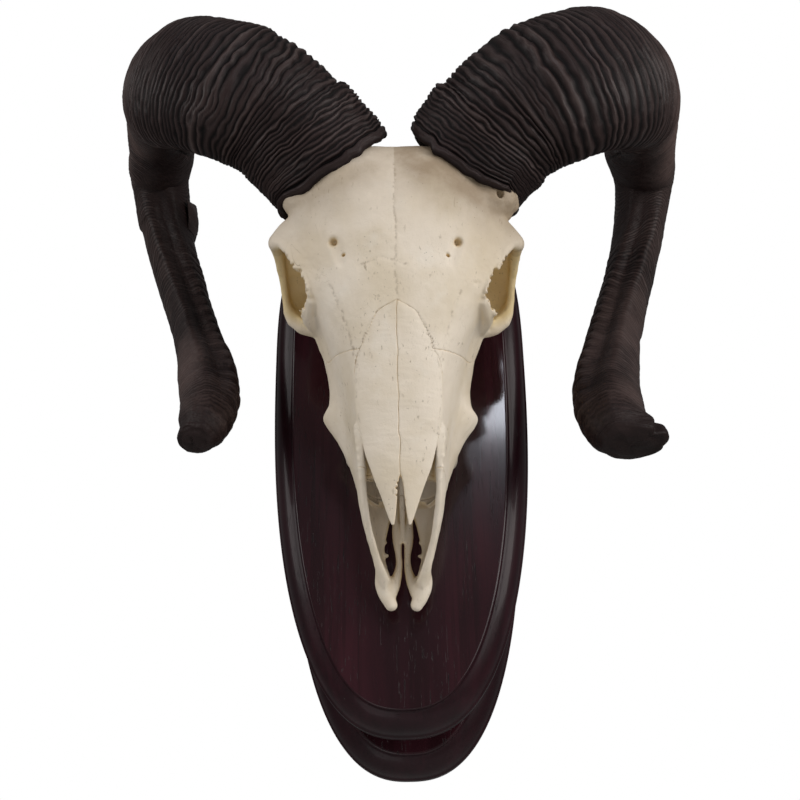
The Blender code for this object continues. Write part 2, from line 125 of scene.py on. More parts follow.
class Field:
    """Signed distances in millimetres on a grid over x, p and h."""

    def __init__(self, low=LOW, high=HIGH, step=STEP):
        self.low = np.asarray(low, float)
        self.step = step
        self.count = np.ceil((np.asarray(high) - self.low) / step).astype(int) + 1
        self.values = np.full(self.count, FAR, np.float32)

    def lines(self, spans=None):
        """The x, p and h of a part of the grid, shaped so that they broadcast together."""
        made = []
        for axis, part in enumerate(spans or [slice(0, n) for n in self.count]):
            shape = [1, 1, 1]
            shape[axis] = -1
            line = self.low[axis] + self.step * np.arange(part.start, part.stop)
            made.append(line.astype(np.float32).reshape(shape))
        return made

    def window(self, low, high):
        """The part of the grid near a box: its slices, and its coordinates."""
        first = np.floor((np.asarray(low) - NEAR - self.low) / self.step).astype(int)
        last = np.ceil((np.asarray(high) + NEAR - self.low) / self.step).astype(int) + 1
        first = np.clip(first, 0, self.count)
        last = np.clip(last, first, self.count)
        spans = tuple(slice(a, b) for a, b in zip(first, last))
        return spans, self.lines(spans)

    def merge(self, spans, other, blend, sign=1):
        """Smooth union, or with sign -1 a smooth cut."""
        mine = sign * self.values[spans]
        near = np.maximum(blend - np.abs(mine - other), 0) / blend
        self.values[spans] = sign * (np.minimum(mine, other) - near * near * blend / 4)

    def carve(self, spans, other, blend):
        self.merge(spans, other, blend, -1)

    def at(self, points):
        """The distance at any places, from the eight grid points round each."""
        place = np.clip((points - self.low) / self.step, 0, self.count - 1.001)
        i, j, k = place.astype(int).T
        f, g, e = (place - place.astype(int)).T
        total = 0
        for a in (0, 1):
            for b in (0, 1):
                for c in (0, 1):
                    share = (f if a else 1 - f) * (g if b else 1 - g) * (e if c else 1 - e)
                    total = total + share * self.values[i + a, j + b, k + c]
        return total

    def both_sides(self):
        """The whole grid, from the right half."""
        whole = copy.copy(self)
        whole.low = self.low - np.array([self.step * (self.count[0] - 1), 0, 0])
        whole.values = np.concatenate([self.values[:0:-1], self.values], axis=0)
        whole.count = np.array(whole.values.shape)
        return whole


skull = Field()
print("grid", skull.count, "step", STEP)

# %% [markdown]
# Four kinds of shape are enough for a skull: a ball with three radii, a tube along a curve with
# its own radius at each station, a loft (a solid whose outline is given at stations along the
# palate), and a wall, which is a loft of an open line with a thickness. Each returns the slices
# it touches and its distances there, so that the field only works where the shape is.

# %% Balls and tubes
def ball(field, x, p, h, rx, rp=None, rh=None):
    """A ball round x, p, h with three radii, or with one for all."""
    radii = np.array([rx, rp or rx, rh or rx])
    centre = np.array([x, p, h])
    spans, lines = field.window(centre - radii, centre + radii)
    near = sum(((line - c) / r) ** 2 for line, c, r in zip(lines, centre, radii))
    slope = sum(((line - c) / r ** 2) ** 2 for line, c, r in zip(lines, centre, radii))
    root = np.sqrt(near)
    return spans, (root * (root - 1) / np.maximum(np.sqrt(slope), 1e-4)).astype(np.float32)


def tube(field, *stations, flat=(1, 1, 1), straight=False):
    """A tube through stations of x, p, h, radius; flat above 1 thins it along that axis."""
    flat = np.array(flat, float)
    rows = np.array(stations, float) if straight else smooth_rows(stations, 5 * len(stations))
    reach = rows[:, 3].max() / flat
    spans, _ = field.window((rows[:, :3] - reach).min(axis=0), (rows[:, :3] + reach).max(axis=0))
    found = np.full([s.stop - s.start for s in spans], FAR, np.float32)
    for a, b in zip(rows, rows[1:]):
        size = max(a[3], b[3]) / flat
        part, lines = field.window(np.minimum(a, b)[:3] - size, np.maximum(a, b)[:3] + size)
        inner = tuple(slice(s.start - w.start, s.stop - w.start) for s, w in zip(part, spans))
        start = a[:3] * flat
        along = (b[:3] - a[:3]) * flat
        offsets = [line * f - s for line, f, s in zip(lines, flat, start)]
        share = sum(o * v for o, v in zip(offsets, along)) / max(along @ along, 1e-6)
        share = np.clip(share, 0, 1)
        gap = sum((o - v * share) ** 2 for o, v in zip(offsets, along))
        distance = np.sqrt(gap) - (a[3] + (b[3] - a[3]) * share)
        found[inner] = np.minimum(found[inner], distance / flat.max() ** 0.5)
    return spans, found


# %% Lofts and walls
def line_distance(x, h, line):
    """Distance on a flat grid to an open line of points."""
    best = np.full(np.broadcast(x, h).shape, FAR ** 2, np.float32)
    for (ax, ah), (bx, bh) in zip(line, line[1:]):
        dx = bx - ax
        dh = bh - ah
        share = np.clip(((x - ax) * dx + (h - ah) * dh) / max(dx * dx + dh * dh, 1e-6), 0, 1)
        best = np.minimum(best, (x - ax - dx * share) ** 2 + (h - ah - dh * share) ** 2)
    return np.sqrt(best)


def within(x, h, line):
    """True inside the outline that the line makes when it is closed."""
    inside = np.zeros(np.broadcast(x, h).shape, bool)
    closed = list(line) + [line[0]]
    for (ax, ah), (bx, bh) in zip(closed, closed[1:]):
        if ah != bh:
            inside ^= ((ah > h) != (bh > h)) & (x < ax + (h - ah) * (bx - ax) / (bh - ah))
    return inside


def round_line(row, per=4):
    """A smooth line through a row of x, h pairs, level where it leaves the midline."""
    line = row.reshape(-1, 2)
    ahead = behind = 0
    if abs(line[0, 0]) < 0.01:
        line = np.vstack([line[1] * (-1, 1), line])
        ahead = per
    if abs(line[-1, 0]) < 0.01:
        line = np.vstack([line, line[-2] * (-1, 1)])
        behind = per
    made = smooth_rows(line, per * (len(line) - 1) + 1)
    return made[ahead:len(made) - behind]


def loft(field, stations, thick=None):
    """A solid between outlines along p; `thick`, as pairs of p and half thickness, makes it a wall."""
    stations = np.asarray(stations, float)
    width = 3.0 if thick else 0.0
    points = stations[:, 1:].reshape(len(stations), -1, 2)
    low = (0, stations[0, 0], points[..., 1].min() - width)
    high = (points[..., 0].max() + width, stations[-1, 0], points[..., 1].max() + width)
    spans, (x, p, h) = field.window(low, high)
    found = np.empty([s.stop - s.start for s in spans], np.float32)
    even = np.linspace(stations[0, 0], stations[-1, 0], 12 * len(stations))
    slices = smooth_rows(stations, 40 * len(stations))
    slices = np.stack([np.interp(even, slices[:, 0], column) for column in slices.T], axis=1)
    flat_x = x[:, 0] + 1e-3
    flat_h = h[0]
    for k, here in enumerate(p.ravel()):
        inside = np.clip(here, stations[0, 0], stations[-1, 0])
        line = round_line(np.array([np.interp(inside, even, column) for column in slices.T[1:]]))
        distance = line_distance(flat_x, flat_h, line)
        if thick is None:
            distance = np.where(within(flat_x, flat_h, line), -distance, distance)
        else:
            distance = distance - np.interp(inside, *zip(*thick))
        beyond = abs(here - inside)
        found[:, k] = np.hypot(np.maximum(distance, 0), beyond) + np.minimum(distance, 0)
    steep = np.gradient(found, field.step, axis=1)
    return spans, found / np.sqrt(1 + np.minimum(steep ** 2, 30))


def add(shape, blend):
    """Join a shape to the skull, with a fillet of `blend` millimetres."""
    skull.merge(*shape, blend)


def remove(shape, blend):
    """Cut a shape out of the skull, with an edge rounded by `blend` millimetres."""
    skull.carve(*shape, blend)


# %% [markdown]
# ## Forehead, face and brain case
# The roof of the skull is one long surface, from the ridge between the horns, over the brow and
# down the nose, so one loft makes it. Each row is a station: its place along the palate, then ten
# x, h points from the midline over the brow and cheek to the palate.

# %% Roof and face
HEAD = (
    (42, 0, 101, 13, 101, 24, 98, 32, 90, 33, 80, 31, 70, 28, 64, 21, 60, 12, 58, 0, 58),
    (45, 0, 109.5, 13, 110, 26, 107.5, 37, 98, 38, 86, 33, 74, 28, 65, 22, 59, 12, 56, 0, 55),
    (51, 0, 113.8, 15, 114, 30, 111.5, 44, 102, 45, 91, 36, 76, 29, 65, 22, 58, 12, 54, 0, 53),
    (60, 0, 117.0, 16, 116.8, 32, 113.4, 47, 104.5, 50, 94, 37, 78, 29, 65, 22, 57, 12, 53, 0, 52),
    (71, 0, 118.9, 16, 118, 32, 113, 47, 104, 52, 94, 37, 79, 28, 65, 22, 56, 12, 51, 0, 50),
    (76, 0, 119.0, 17, 117.5, 33, 112, 47, 102.5, 53, 92, 37, 80, 28, 66, 22, 55, 12, 49, 0, 48),
    (82, 0, 118.6, 17, 116.9, 33.5, 110.6, 49, 99.5, 59, 90, 37, 81, 28, 66, 22, 54, 12, 47, 0, 46),
    (88, 0, 118.0, 17, 116.1, 34, 109.2, 51, 97.6, 63, 89, 37, 82, 27, 66, 23, 52, 14, 45, 0, 43),
    (94, 0, 117.1, 17, 115.0, 34, 108.2, 50, 97.2, 58, 91, 36, 82, 27, 66, 23, 52, 14, 44, 0, 42),
    (101, 0, 115.5, 17, 113.5, 33, 107.3, 46, 98.8, 53, 93.2, 34, 83, 28, 65, 24, 50, 17, 42, 0, 39),
    (109, 0, 113.2, 16, 111.4, 31, 106, 42, 98.8, 48, 94, 35, 80, 31, 62, 28, 45, 20, 36, 0, 34),
    (118, 0, 110.7, 16, 108.9, 29, 104, 38.5, 98, 44, 92.5, 42, 77, 41, 60, 38, 42, 25, 26, 0, 28),
    (124, 0, 108.6, 15.5, 107, 27.6, 102.4, 37, 95.6, 41.6, 88.5, 44, 73, 43, 55, 38, 24, 26, 14, 0, 26),
    (130, 0, 106.4, 15, 104.9, 26.5, 100.6, 34.5, 93.6, 38.8, 84, 39.6, 68, 41.4, 48, 37, 22, 26, 13, 0, 24),
    (138, 0, 103.4, 14.5, 102, 24.5, 97.8, 30.5, 91, 35, 82, 36, 64, 39.5, 46, 36.5, 22, 26, 13, 0, 22),
    (150, 0, 98.7, 14, 97.4, 21.5, 94, 26, 87.5, 30, 77, 33.5, 60, 37.2, 43, 35.5, 22, 26, 13, 0, 20),
    (160, 0, 94.9, 13, 93.7, 20.5, 90, 24.2, 83, 27.8, 73, 31.5, 56, 37.6, 41, 34.5, 22, 25.5, 13, 0, 19),
    (167, 0, 92.2, 13, 90.9, 20.4, 87.2, 23.4, 80, 26.5, 70, 30.5, 54, 40.6, 38, 33, 22, 25, 13, 0, 18),
    (178, 0, 87.9, 13, 86.4, 20.2, 82.8, 22.4, 75.5, 24.6, 66, 27.5, 51, 33, 36, 30, 22, 24, 13, 0, 17),
    (190, 0, 82.8, 12, 81.4, 18.8, 78.6, 21.0, 71.5, 22.6, 62, 24.4, 47, 27.2, 34, 26, 21, 19, 14, 0, 16),
    (202, 0, 71, 11, 71, 17, 71, 19.8, 67, 21.4, 56, 22.6, 42, 23.2, 30, 21.5, 19, 15, 15, 0, 15.5),
)
add(loft(skull, HEAD), 1.0)
add(ball(skull, 0, 61, 70, 35, 28, 34), 6)
add(ball(skull, 0, 92, 82, 30, 34, 30), 4)
add(tube(skull, (18, 70, 86, 19), (32, 52, 91, 21.5), (44, 37, 97, 20)), 4)
add(ball(skull, 33, 54, 62, 13, 17, 18), 6)
print("inside share:", float((skull.values < 0).mean().round(3)))

# %% [markdown]
# ## The eye sockets
# A sheep's eye socket is a full ring of bone that stands out from the side of the head, with a
# cup behind it. The cup is two balls grown by a few millimetres and cut off flat where the ring
# is; the hollow is the same two balls at their own size. The rim is drawn last, as a thin tube
# that wanders, because on the real skull its upper edge is broken and ragged.

# %% Cup, hollow, rim and arch
SOCKET = ((46.5, 104.5, 70.5, 22.5, 17.0, 22.0), (54.0, 97.5, 79.0, 11.5, 10.2, 13.2))
CUP_WALL = 2.8
RING_PLANE = np.array([0.855, 0.497, 0.149])       # the way the eye looked, and how far out
RING_REACH = 109.3
RIM = (
    (61.6, 90.2, 88.6, 2.4), (58.6, 92.6, 91, 1.8), (55.4, 97.6, 93, 1.4), (52.6, 103.8, 93.8, 1.3),
    (50.2, 108.6, 94.0, 1.2), (47.8, 109.9, 94.6, 1.2), (46.9, 112.6, 94.6, 1.2),
    (45.4, 116.6, 94.2, 1.2), (44.6, 119.4, 93.4, 1.2), (43.9, 121.7, 91, 1.3),
    (45.6, 122.8, 86.0, 1.2), (46.4, 123.2, 81.5, 1.2), (49.4, 124.1, 77.6, 1.4),
    (48.4, 123.6, 74, 1.3), (46.4, 123.0, 68, 1.5), (44.2, 121.8, 60, 1.8), (43.6, 120.4, 54, 2.6),
    (46.5, 118.4, 48.9, 3.3), (51.8, 116.8, 48.4, 3.5), (56.4, 114.0, 49.4, 3.3),
    (58.9, 109.5, 51.5, 2.6), (60.0, 104, 54, 2.0), (60.5, 99, 58, 1.8), (60.8, 94.5, 64, 1.8),
    (61.2, 91.4, 72, 2.1), (61.8, 89.8, 80, 2.5), (62.2, 89.0, 85.0, 2.8), (61.6, 90.2, 88.6, 2.4),
)
for place in SOCKET:
    spans, found = ball(skull, *place[:3], *(radius + CUP_WALL for radius in place[3:]))
    beyond = sum(line * share for line, share in zip(skull.lines(spans), RING_PLANE)) - RING_REACH
    add((spans, np.maximum(found, beyond)), 1.6)
add(tube(skull, (50, 78, 90, 4), (57, 83, 88.5, 4), (61.5, 87.5, 86.5, 3.8)), 4)
add(tube(skull, (36, 126, 46, 6), (41, 117, 48, 6.5), (46, 114, 46, 6), (53, 110, 47.5, 4)), 5)
add(tube(skull, (58, 101, 50.5, 4.6), (57.6, 88, 51, 5.2), (55, 72, 52, 5.2), (47, 57, 54, 6.5),
         (40, 48, 54, 7), flat=(1.6, 1, 1)), 4)
add(tube(skull, (59.5, 88, 80, 3.2), (59, 87, 68, 4), (57.5, 86.5, 57, 5), flat=(1.3, 1, 1)), 4)
for place, blend in zip(SOCKET, (1.0, 5.0)):
    remove(ball(skull, *place), blend)
add(tube(skull, *RIM[:15], straight=True), 1.6)
add(tube(skull, *RIM[14:], straight=True), 3.4)
add(tube(skull, (43.0, 123.8, 88, 2.0), (44.4, 124.2, 80, 3.0), (45.4, 124.2, 72, 3.4),
         (44.0, 123.2, 62, 3.6), (42.5, 121.0, 54, 3.6)), 2.0)
add(tube(skull, (45, 117, 47, 4), (52, 115, 46.4, 3.8), (57, 110.5, 48.5, 3.2)), 2.5)
remove(ball(skull, 46.0, 117.4, 60, 3.2, 4.0, 6.5), 1.5)

# %% [markdown]
# ## The base of the head
# The underside follows the animal: two rounded condyles beside the opening for the spine, the
# thin processes and the domed ear capsules beside them, the wings behind the palate, and the
# slope of the neck plate. A cheek tooth is one or two upright lobes whose ends wave into cusps.

# %% Neck plate, ears, palate wings and cheek teeth
add(tube(skull, (0, 40, 82, 4), (14, 40, 80, 4), (26, 41.5, 72, 4), (35, 45, 59, 4.5)), 5)
add(ball(skull, 0, 41, 57, 31, 13, 24), 6)
add(ball(skull, 10, 27, 39, 7.5, 8.5, 11), 4)
add(tube(skull, (0, 30, 38, 8), (0, 46, 38, 9), (0, 66, 40, 11), (0, 96, 46, 14)), 5)
add(tube(skull, (24, 36, 50, 8), (26, 33, 28, 5), (25, 33, 8, 2.4), flat=(1.3, 1, 1)), 4)
add(ball(skull, 18, 48, 32, 8, 12, 10), 3)
add(tube(skull, (30, 50, 44, 5.5), (39, 47, 45, 5), (46, 46, 47, 4.4)), 4)
add(tube(skull, (10, 62, 38, 4), (11, 78, 28, 2.6), (13, 96, 22, 3), (17, 112, 24, 6),
         flat=(1.6, 1, 1)), 3)
add(ball(skull, 27, 113, 30, 9, 11, 16), 6)
remove(tube(skull, (0, 6, 50, 9), (0, 28, 52, 8.5), (0, 46, 58, 8)), 2)
remove(tube(skull, (0, 72, 29, 7), (0, 92, 31, 8), (0, 112, 33, 8)), 3)
# Each tooth: its front, its length, how far from the midline, and half its width.
CUSP_HEIGHT = 1.1
TEETH = ((180, 9.5, 26.5, 4.0), (171, 9.5, 28.5, 4.6), (162, 10.5, 30, 5.2),
         (152, 15, 31, 6.4), (137.5, 17, 31.5, 6.8), (121, 18, 31.5, 6.2))
for front, length, x, half in TEETH:
    lobes = 2 if length > 12 else 1
    for lobe in range(lobes):
        p = front - length * (lobe + 0.5) / lobes
        long = length / lobes / 2
        spans, found = tube(skull, (x, p, 30, half), (x + 0.6, p, -6, half * 0.94),
                            flat=(1, max(half / long, 0.6), 1), straight=True)
        _, line_p, h = skull.lines(spans)
        cusp = CUSP_HEIGHT * np.cos((line_p - p) * (math.pi / long))
        add((spans, np.maximum(found, cusp - h).astype(np.float32)), 0.6)
print("base and teeth done")

# %% [markdown]
# ## Openings of the head
# Behind the eye, the gap between the arch and the brain case let the jaw muscle pass; above each
# brow a round hole let blood vessels out.

# %% Muscle gap and small holes
remove(tube(skull, (46, 76, 77, 6.5), (46, 74, 66, 8), (45, 70, 50, 8), (44, 67, 34, 8)), 2)
remove(tube(skull, (31.4, 101.2, 113, 2.3), (31.0, 100.8, 108, 2.0), (30, 99.8, 105, 1.5)), 1.8)
remove(tube(skull, (30, 103.5, 109.4, 2.0), (27.5, 112, 107.6, 0.8)), 3)
remove(tube(skull, (25.6, 108.4, 114, 0.9), (25.4, 108.4, 106, 0.8)), 0.6)

# %% [markdown]
# ## Snout
# Forward of the cheeks the head is a thin open trough. The nose hollow is cut out of the face,
# and then the side walls are built on forward as one sheet that narrows to the two blunt front
# bones. Two thin rods lie on the midline between the long gaps of the palate.

# %% Nose hollow, side walls and rods
HOLLOW = (
    (160, 0, 82, 8, 80, 14, 74, 17, 62, 17, 46, 14, 34, 8, 28, 0, 27),
    (178, 0, 80, 10, 79, 16, 76, 19, 62, 20, 46, 19, 32, 10, 24, 0, 23),
    (190, 0, 79, 11, 78, 16.4, 76, 18.4, 62, 19.6, 46, 20, 32, 12, 20.5, 0, 20),
    (206, 0, 90, 11, 90, 16.8, 88, 17.4, 56, 18.4, 42, 18, 29, 12, 19.5, 0, 19),
)
WALL = (
    (186, 20.8, 76, 21.6, 66, 23.0, 50, 24.2, 36, 22, 22, 12, 16, 3, 15.5),
    (193, 19.9, 73, 20.9, 63, 22.2, 48, 22.9, 34, 19.8, 21, 11, 15.5, 3, 15.5),
    (200, 19.3, 69, 20.5, 59, 21.6, 45, 21.8, 32, 17.8, 20, 10, 15.5, 3, 15.5),
    (207, 18.9, 64.5, 20.2, 55.5, 20.9, 43, 20.3, 30, 15.9, 19, 9.5, 15.5, 4.5, 15.5),
    (214, 18.5, 58.5, 19.7, 50.5, 20.0, 40, 18.8, 28.5, 14.6, 18.5, 9.8, 15.5, 7.8, 15.3),
    (221, 17.8, 51.5, 18.7, 45, 18.5, 36, 17.0, 26, 13.8, 18, 11, 15.4, 9.6, 15),
    (229, 16.3, 42.8, 16.8, 38, 16.4, 31, 15.2, 23.5, 13.3, 17.2, 11.8, 15, 11.2, 14.6),
    (237, 14.0, 34.2, 14.2, 31, 13.8, 26, 13.1, 20.5, 12.1, 16, 11.2, 14.2, 11, 13.8),
    (244, 11.6, 27.2, 11.6, 25, 11.4, 22, 11.0, 18.5, 10.4, 15.4, 9.8, 13.6, 9.6, 13.2),
    (249, 9.6, 21.4, 9.5, 20, 9.4, 18.4, 9.2, 16.6, 8.9, 14.8, 8.7, 13.6, 8.6, 13.2),
)
remove(loft(skull, HOLLOW), 1.5)
add(loft(skull, WALL, thick=((186, 1.6), (207, 1.7), (229, 1.6), (240, 2.0), (249, 3.2))), 2)
add(tube(skull, (11.0, 243, 17, 2.6), (10.8, 248.5, 16.2, 3.9), (9.0, 254, 15, 4.0),
         (6.6, 259, 13.5, 3.2)), 3)
add(tube(skull, (2.4, 196, 17, 1.9), (2.7, 210, 16.5, 2.3), (3.0, 222, 16, 2.5),
         (2.7, 229, 15.6, 2.2), (2.2, 235, 15, 1.7), (2.5, 241, 14.6, 1.9), (4.4, 247.5, 14.2, 3.0),
         (6.6, 252.5, 14, 3.6)), 1.6)
add(tube(skull, (0, 150, 46, 2), (0, 186, 34, 1.7), (0, 206, 24, 1.5), (0, 226, 17.5, 1.3)), 2)
add(tube(skull, (11, 168, 62, 7), (11.5, 186, 58, 7.5), (12.4, 199, 54, 7), (13, 203, 52, 5),
         flat=(1, 1, 1.2)), 1.5)
remove(tube(skull, (9, 170, 50, 6), (9.6, 190, 46, 6.5), (10.5, 206, 42, 6)), 1.5)
remove(tube(skull, (13.2, 196, 56, 2.2), (13.6, 206, 52, 3.4)), 1)
for knob in ((20.6, 189, 74.5, 1.5), (20.4, 193.2, 72.6, 1.3), (20.0, 196.6, 71.2, 1.5),
             (19.7, 200.6, 69.0, 1.2), (19.5, 204.2, 66.6, 1.3), (19.3, 208.6, 63.4, 1.0)):
    add(ball(skull, *knob), 1.2)
for x, p, h, size in ((9.0, 233.5, 14.6, 1.1), (9.9, 226.5, 15.0, 0.9), (10.2, 239, 14.0, 1.0)):
    add(ball(skull, x, p, h, 1.6, size, size), 1.0)
print("snout done")

# %% [markdown]
# ## Nose roof
# Two long bones roof the nose. Behind they lie flush in the forehead; in front they run out free
# into two points with a notch between them. They are grown in a finer field of their own, because
# a thin gap parts them from the side walls, and a smooth union would close it.

# %% Nasal bones
NASAL = (
    (132.6, 0, 106.2, 0.5, 106.1, 1, 105.9, 1, 102, 0.5, 102, 0, 102),
    (134.6, 0, 105.5, 3, 105.2, 5.2, 104.6, 5.2, 101, 3, 101, 0, 101),
    (137, 0, 104.6, 5, 104.2, 9.6, 102.8, 9.6, 99, 5, 100, 0, 100),
    (143, 0, 102.2, 8, 101.6, 14.0, 99.3, 14, 95.5, 8, 97.5, 0, 97.5),
    (150, 0, 99.4, 10, 98.6, 17.1, 96.0, 17.1, 92.0, 10, 94, 0, 94.5),
    (161, 0, 95.3, 12, 94.3, 20.1, 90.8, 20.1, 86.8, 12, 90, 0, 91),
    (175, 0, 89.9, 12, 88.8, 20.5, 84.6, 20.5, 81, 12, 85, 0, 86),
    (184, 0, 86.2, 11.6, 85.0, 19.6, 81.2, 19.4, 78.4, 11.6, 81.8, 0, 82.8),
    (191, 0, 83.2, 10.6, 82.0, 18.3, 78.6, 17.9, 76.4, 10.6, 79.4, 0, 80.4),
    (202, 0, 78.9, 9.2, 77.9, 15.7, 75.0, 15.3, 73.2, 9.2, 75.6, 0, 76.4),
    (211, 0, 75.3, 7.4, 74.4, 12.6, 72.2, 12.2, 70.6, 7.4, 72.4, 0, 73.0),
    (220, 0, 71.3, 5.6, 70.7, 9.2, 69.2, 8.9, 67.6, 5.6, 68.7, 0, 69.2),
    (228, 0, 67.4, 4.4, 67.0, 6.4, 66.2, 6.2, 64.9, 4.4, 65.4, 0, 65.6),
    (232, 0, 65.2, 3.9, 65.0, 4.8, 64.6, 4.7, 63.6, 3.9, 63.8, 0, 63.8),
)
nose = Field((0, 126, 60), (24, 236, 110), STEP * 0.77)
nose.merge(*loft(nose, NASAL), 0.5)
nose.carve(*tube(nose, (0, 211.5, 75, 0.5), (0, 215, 72, 1.3), (0, 221, 70, 1.8),
                 (0, 229, 66, 2.7), (0, 236, 62, 4.4), flat=(1, 1, 0.2)), 0.5)
spans, found = loft(skull, NASAL)
remove((spans, found + 0.3), 0.3)
print("nose grid", nose.count)

# %% [markdown]
# ## The two sides differ
# Now the half becomes a whole, and the real skull's small accidents go in: fine relief all over,
# sutures as shallow grooves, teeth-like breaks along the upper rims of the eye sockets, a pitted
# lump at the foot of each horn core, larger on the right, and an edge of the nose opening that is
# knobblier on the right. Random numbers come from fixed seeds, so every run grows the same skull.

# %% Relief, sutures and broken rims
whole = skull.both_sides()
nose_all = nose.both_sides()
LUMP_P, LUMP_H = 67.2, 95.0
LUMPS = ((1, 53.0, 1.0), (-1, 51.5, 0.62))         # side, x and size of each
LUMP_KNOBS = ((7.4, -3.0, 0.5, 3.4), (7.8, 2.0, -2.5, 3.0), (3.5, 6.5, -4.0, 3.2),
              (2.5, -5.5, 5.5, 3.2), (7.4, -7.0, -1.5, 3.2), (4.5, 3.6, 4.5, 2.6))
LUMP_PITS = ((5.3, -1.2, 6.4), (-3.4, -0.4, 9.3), (1.8, -3.2, 9.0))
for side, out, full in LUMPS:
    whole.merge(*ball(whole, side * 46.5, 62.0, 92.5, 13.0), 6.0)
    whole.merge(*ball(whole, side * out, LUMP_P, LUMP_H, 10.0 * full, 9.4 * full, 9.6 * full), 6.0)
    for x, p, h, size in LUMP_KNOBS:
        whole.merge(*ball(whole, side * (out + x * full), LUMP_P + p * full, LUMP_H + h * full,
                          size * full), 2.2)
    whole.carve(*ball(whole, side * (out + 0.2), LUMP_P + 2.6, LUMP_H + 8.6 * full,
                      1.5 * full, 2.0 * full, 3.0 * full), 1.2)
    for x, p, h in LUMP_PITS:
        whole.carve(*ball(whole, side * (out + x * full), LUMP_P + p, LUMP_H + h * full,
                          0.8, 0.9, 1.4), 0.5)

# Each row: millimetres between bumps across, along and in depth, and their height.
BONE_RELIEF = ((2.6, 2.6, 2.6, 0.10), (7, 7, 7, 0.17))
NOSE_RELIEF = ((4.5, 1.15, 4.5, 0.075), (7, 7, 7, 0.15))
for field, relief, seed in ((whole, BONE_RELIEF, 3), (nose_all, NOSE_RELIEF, 5)):
    size = (field.count * field.step).astype(float)
    for *bump, height in relief:
        cells = [max(2, int(s / b)) for s, b in zip(size, bump)]
        field.values += height * soft_noise(field.count, cells, seed + int(bump[0]))
x, p, h = whole.lines()
BROW_BUMP, BROW_HEIGHT = 1.7, 0.17                  # the rim over the eye is coarser
brow = np.exp(-(((np.abs(x) - 46) / 11) ** 2 + ((p - 106) / 17) ** 2)) * (h > 84)
cells = [int(s / BROW_BUMP) for s in whole.count * whole.step]
whole.values += BROW_HEIGHT * brow * soft_noise(whole.count, cells, 17)

# Lines on the skull, as x and p.
NASAL_EDGE = [(0, 132.6), (5.2, 134.6), (9.6, 137), (14, 143), (17.1, 150), (20.1, 161),
              (20.6, 175), (19.6, 184), (18.3, 191)]
SUTURES = {
    "midline": [(0.0, 60), (0.5, 70), (-0.3, 84), (0.4, 100), (-0.2, 118), (0.1, 133)],
    "arc": [(-17.7, 115.4), (-13, 113.6), (-6.1, 112.4), (0.5, 113.8), (5.4, 115.9)],
    "brow right": [(20.0, 162.5), (21.7, 156), (23.3, 148.5), (25.7, 139.5), (28.2, 131), (31.6, 124)],
    "brow left": [(-19.9, 161.3), (-22.2, 150.4), (-25.5, 139.3), (-28.6, 131), (-32.8, 121.4)],
}


WANDER = 0.45


def wandering(line, seed, per=14):
    """A line made irregular, as a suture is."""
    made = smooth_rows(line, per * len(line))
    return made + soft_noise(made.shape, (len(made) // 3, 1), seed) * WANDER


SUTURES = {name: wandering(line, len(name)) for name, line in SUTURES.items()}
x, p, h = whole.lines()
near = np.full((whole.count[0], whole.count[1]), FAR, np.float32)
for line in SUTURES.values():
    near = np.minimum(near, line_distance(x[:, :, 0], p[:, :, 0], line))
GROOVE_DEPTH, GROOVE_HALF = 0.16, 0.75
whole.values += GROOVE_DEPTH * np.exp(-(near / GROOVE_HALF) ** 2)[:, :, None] * (h > 70)
print("suture points:", sum(len(line) for line in SUTURES.values()))

rng = np.random.default_rng(12)
for side in (-1, 1):
    for spot in smooth_rows(RIM[2:15], 26):
        x, p, h = spot[:3] + rng.uniform(-0.5, 0.5, 3)
        size = rng.uniform(0.5, 1.35)
        whole.carve(*ball(whole, side * (x + 0.9), p, h, size, size, size * 1.4), 0.4)
BROW_PITS = 70
for pit in range(BROW_PITS):
    side = rng.choice((-1, 1))
    x, p = rng.uniform(34, 47), rng.uniform(96, 120)
    spot = whole.at(np.array([(side * x, p, level) for level in np.arange(85, 112, 0.4)]))
    level = 85 + 0.4 * int(np.argmax(spot > 0)) + 0.3
    size = rng.uniform(0.35, 0.8)
    whole.carve(*ball(whole, side * x, p, level, size, size * rng.uniform(1, 2.2), 0.8), 0.4)
for knob in ((20.9, 187, 75.2, 1.2), (21.1, 191.4, 73.6, 1.5), (20.8, 195.2, 72.0, 1.2),
             (20.6, 199.0, 70.2, 1.4), (20.2, 203.6, 67.4, 1.1)):
    whole.merge(*ball(whole, *knob), 0.8)
for x, p, size in ((-1.5, 214.2, 0.5), (-1.9, 216.4, 0.7), (-2.2, 219.5, 0.45), (2.0, 221.5, 0.5)):
    nose_all.carve(*ball(nose_all, x, p, 123.5 - 0.232 * p, size, size * 0.8, 6), 0.3)
print("details done")

# %% [markdown]
# ## From the field to meshes
# Surface nets turn a field into quads: every grid cell that the surface crosses gets one point,
# at the mean of the crossings on its edges, and every grid edge that crosses the surface joins
# its four cells. It makes an even, all-quad skin with no slivers, which takes smooth shading well.

# %% Surface nets
CORNERS = np.array([(i, j, k) for i in (0, 1) for j in (0, 1) for k in (0, 1)])
EDGES = [(a, b) for a in range(8) for b in range(a + 1, 8)
         if np.abs(CORNERS[a] - CORNERS[b]).sum() == 1]


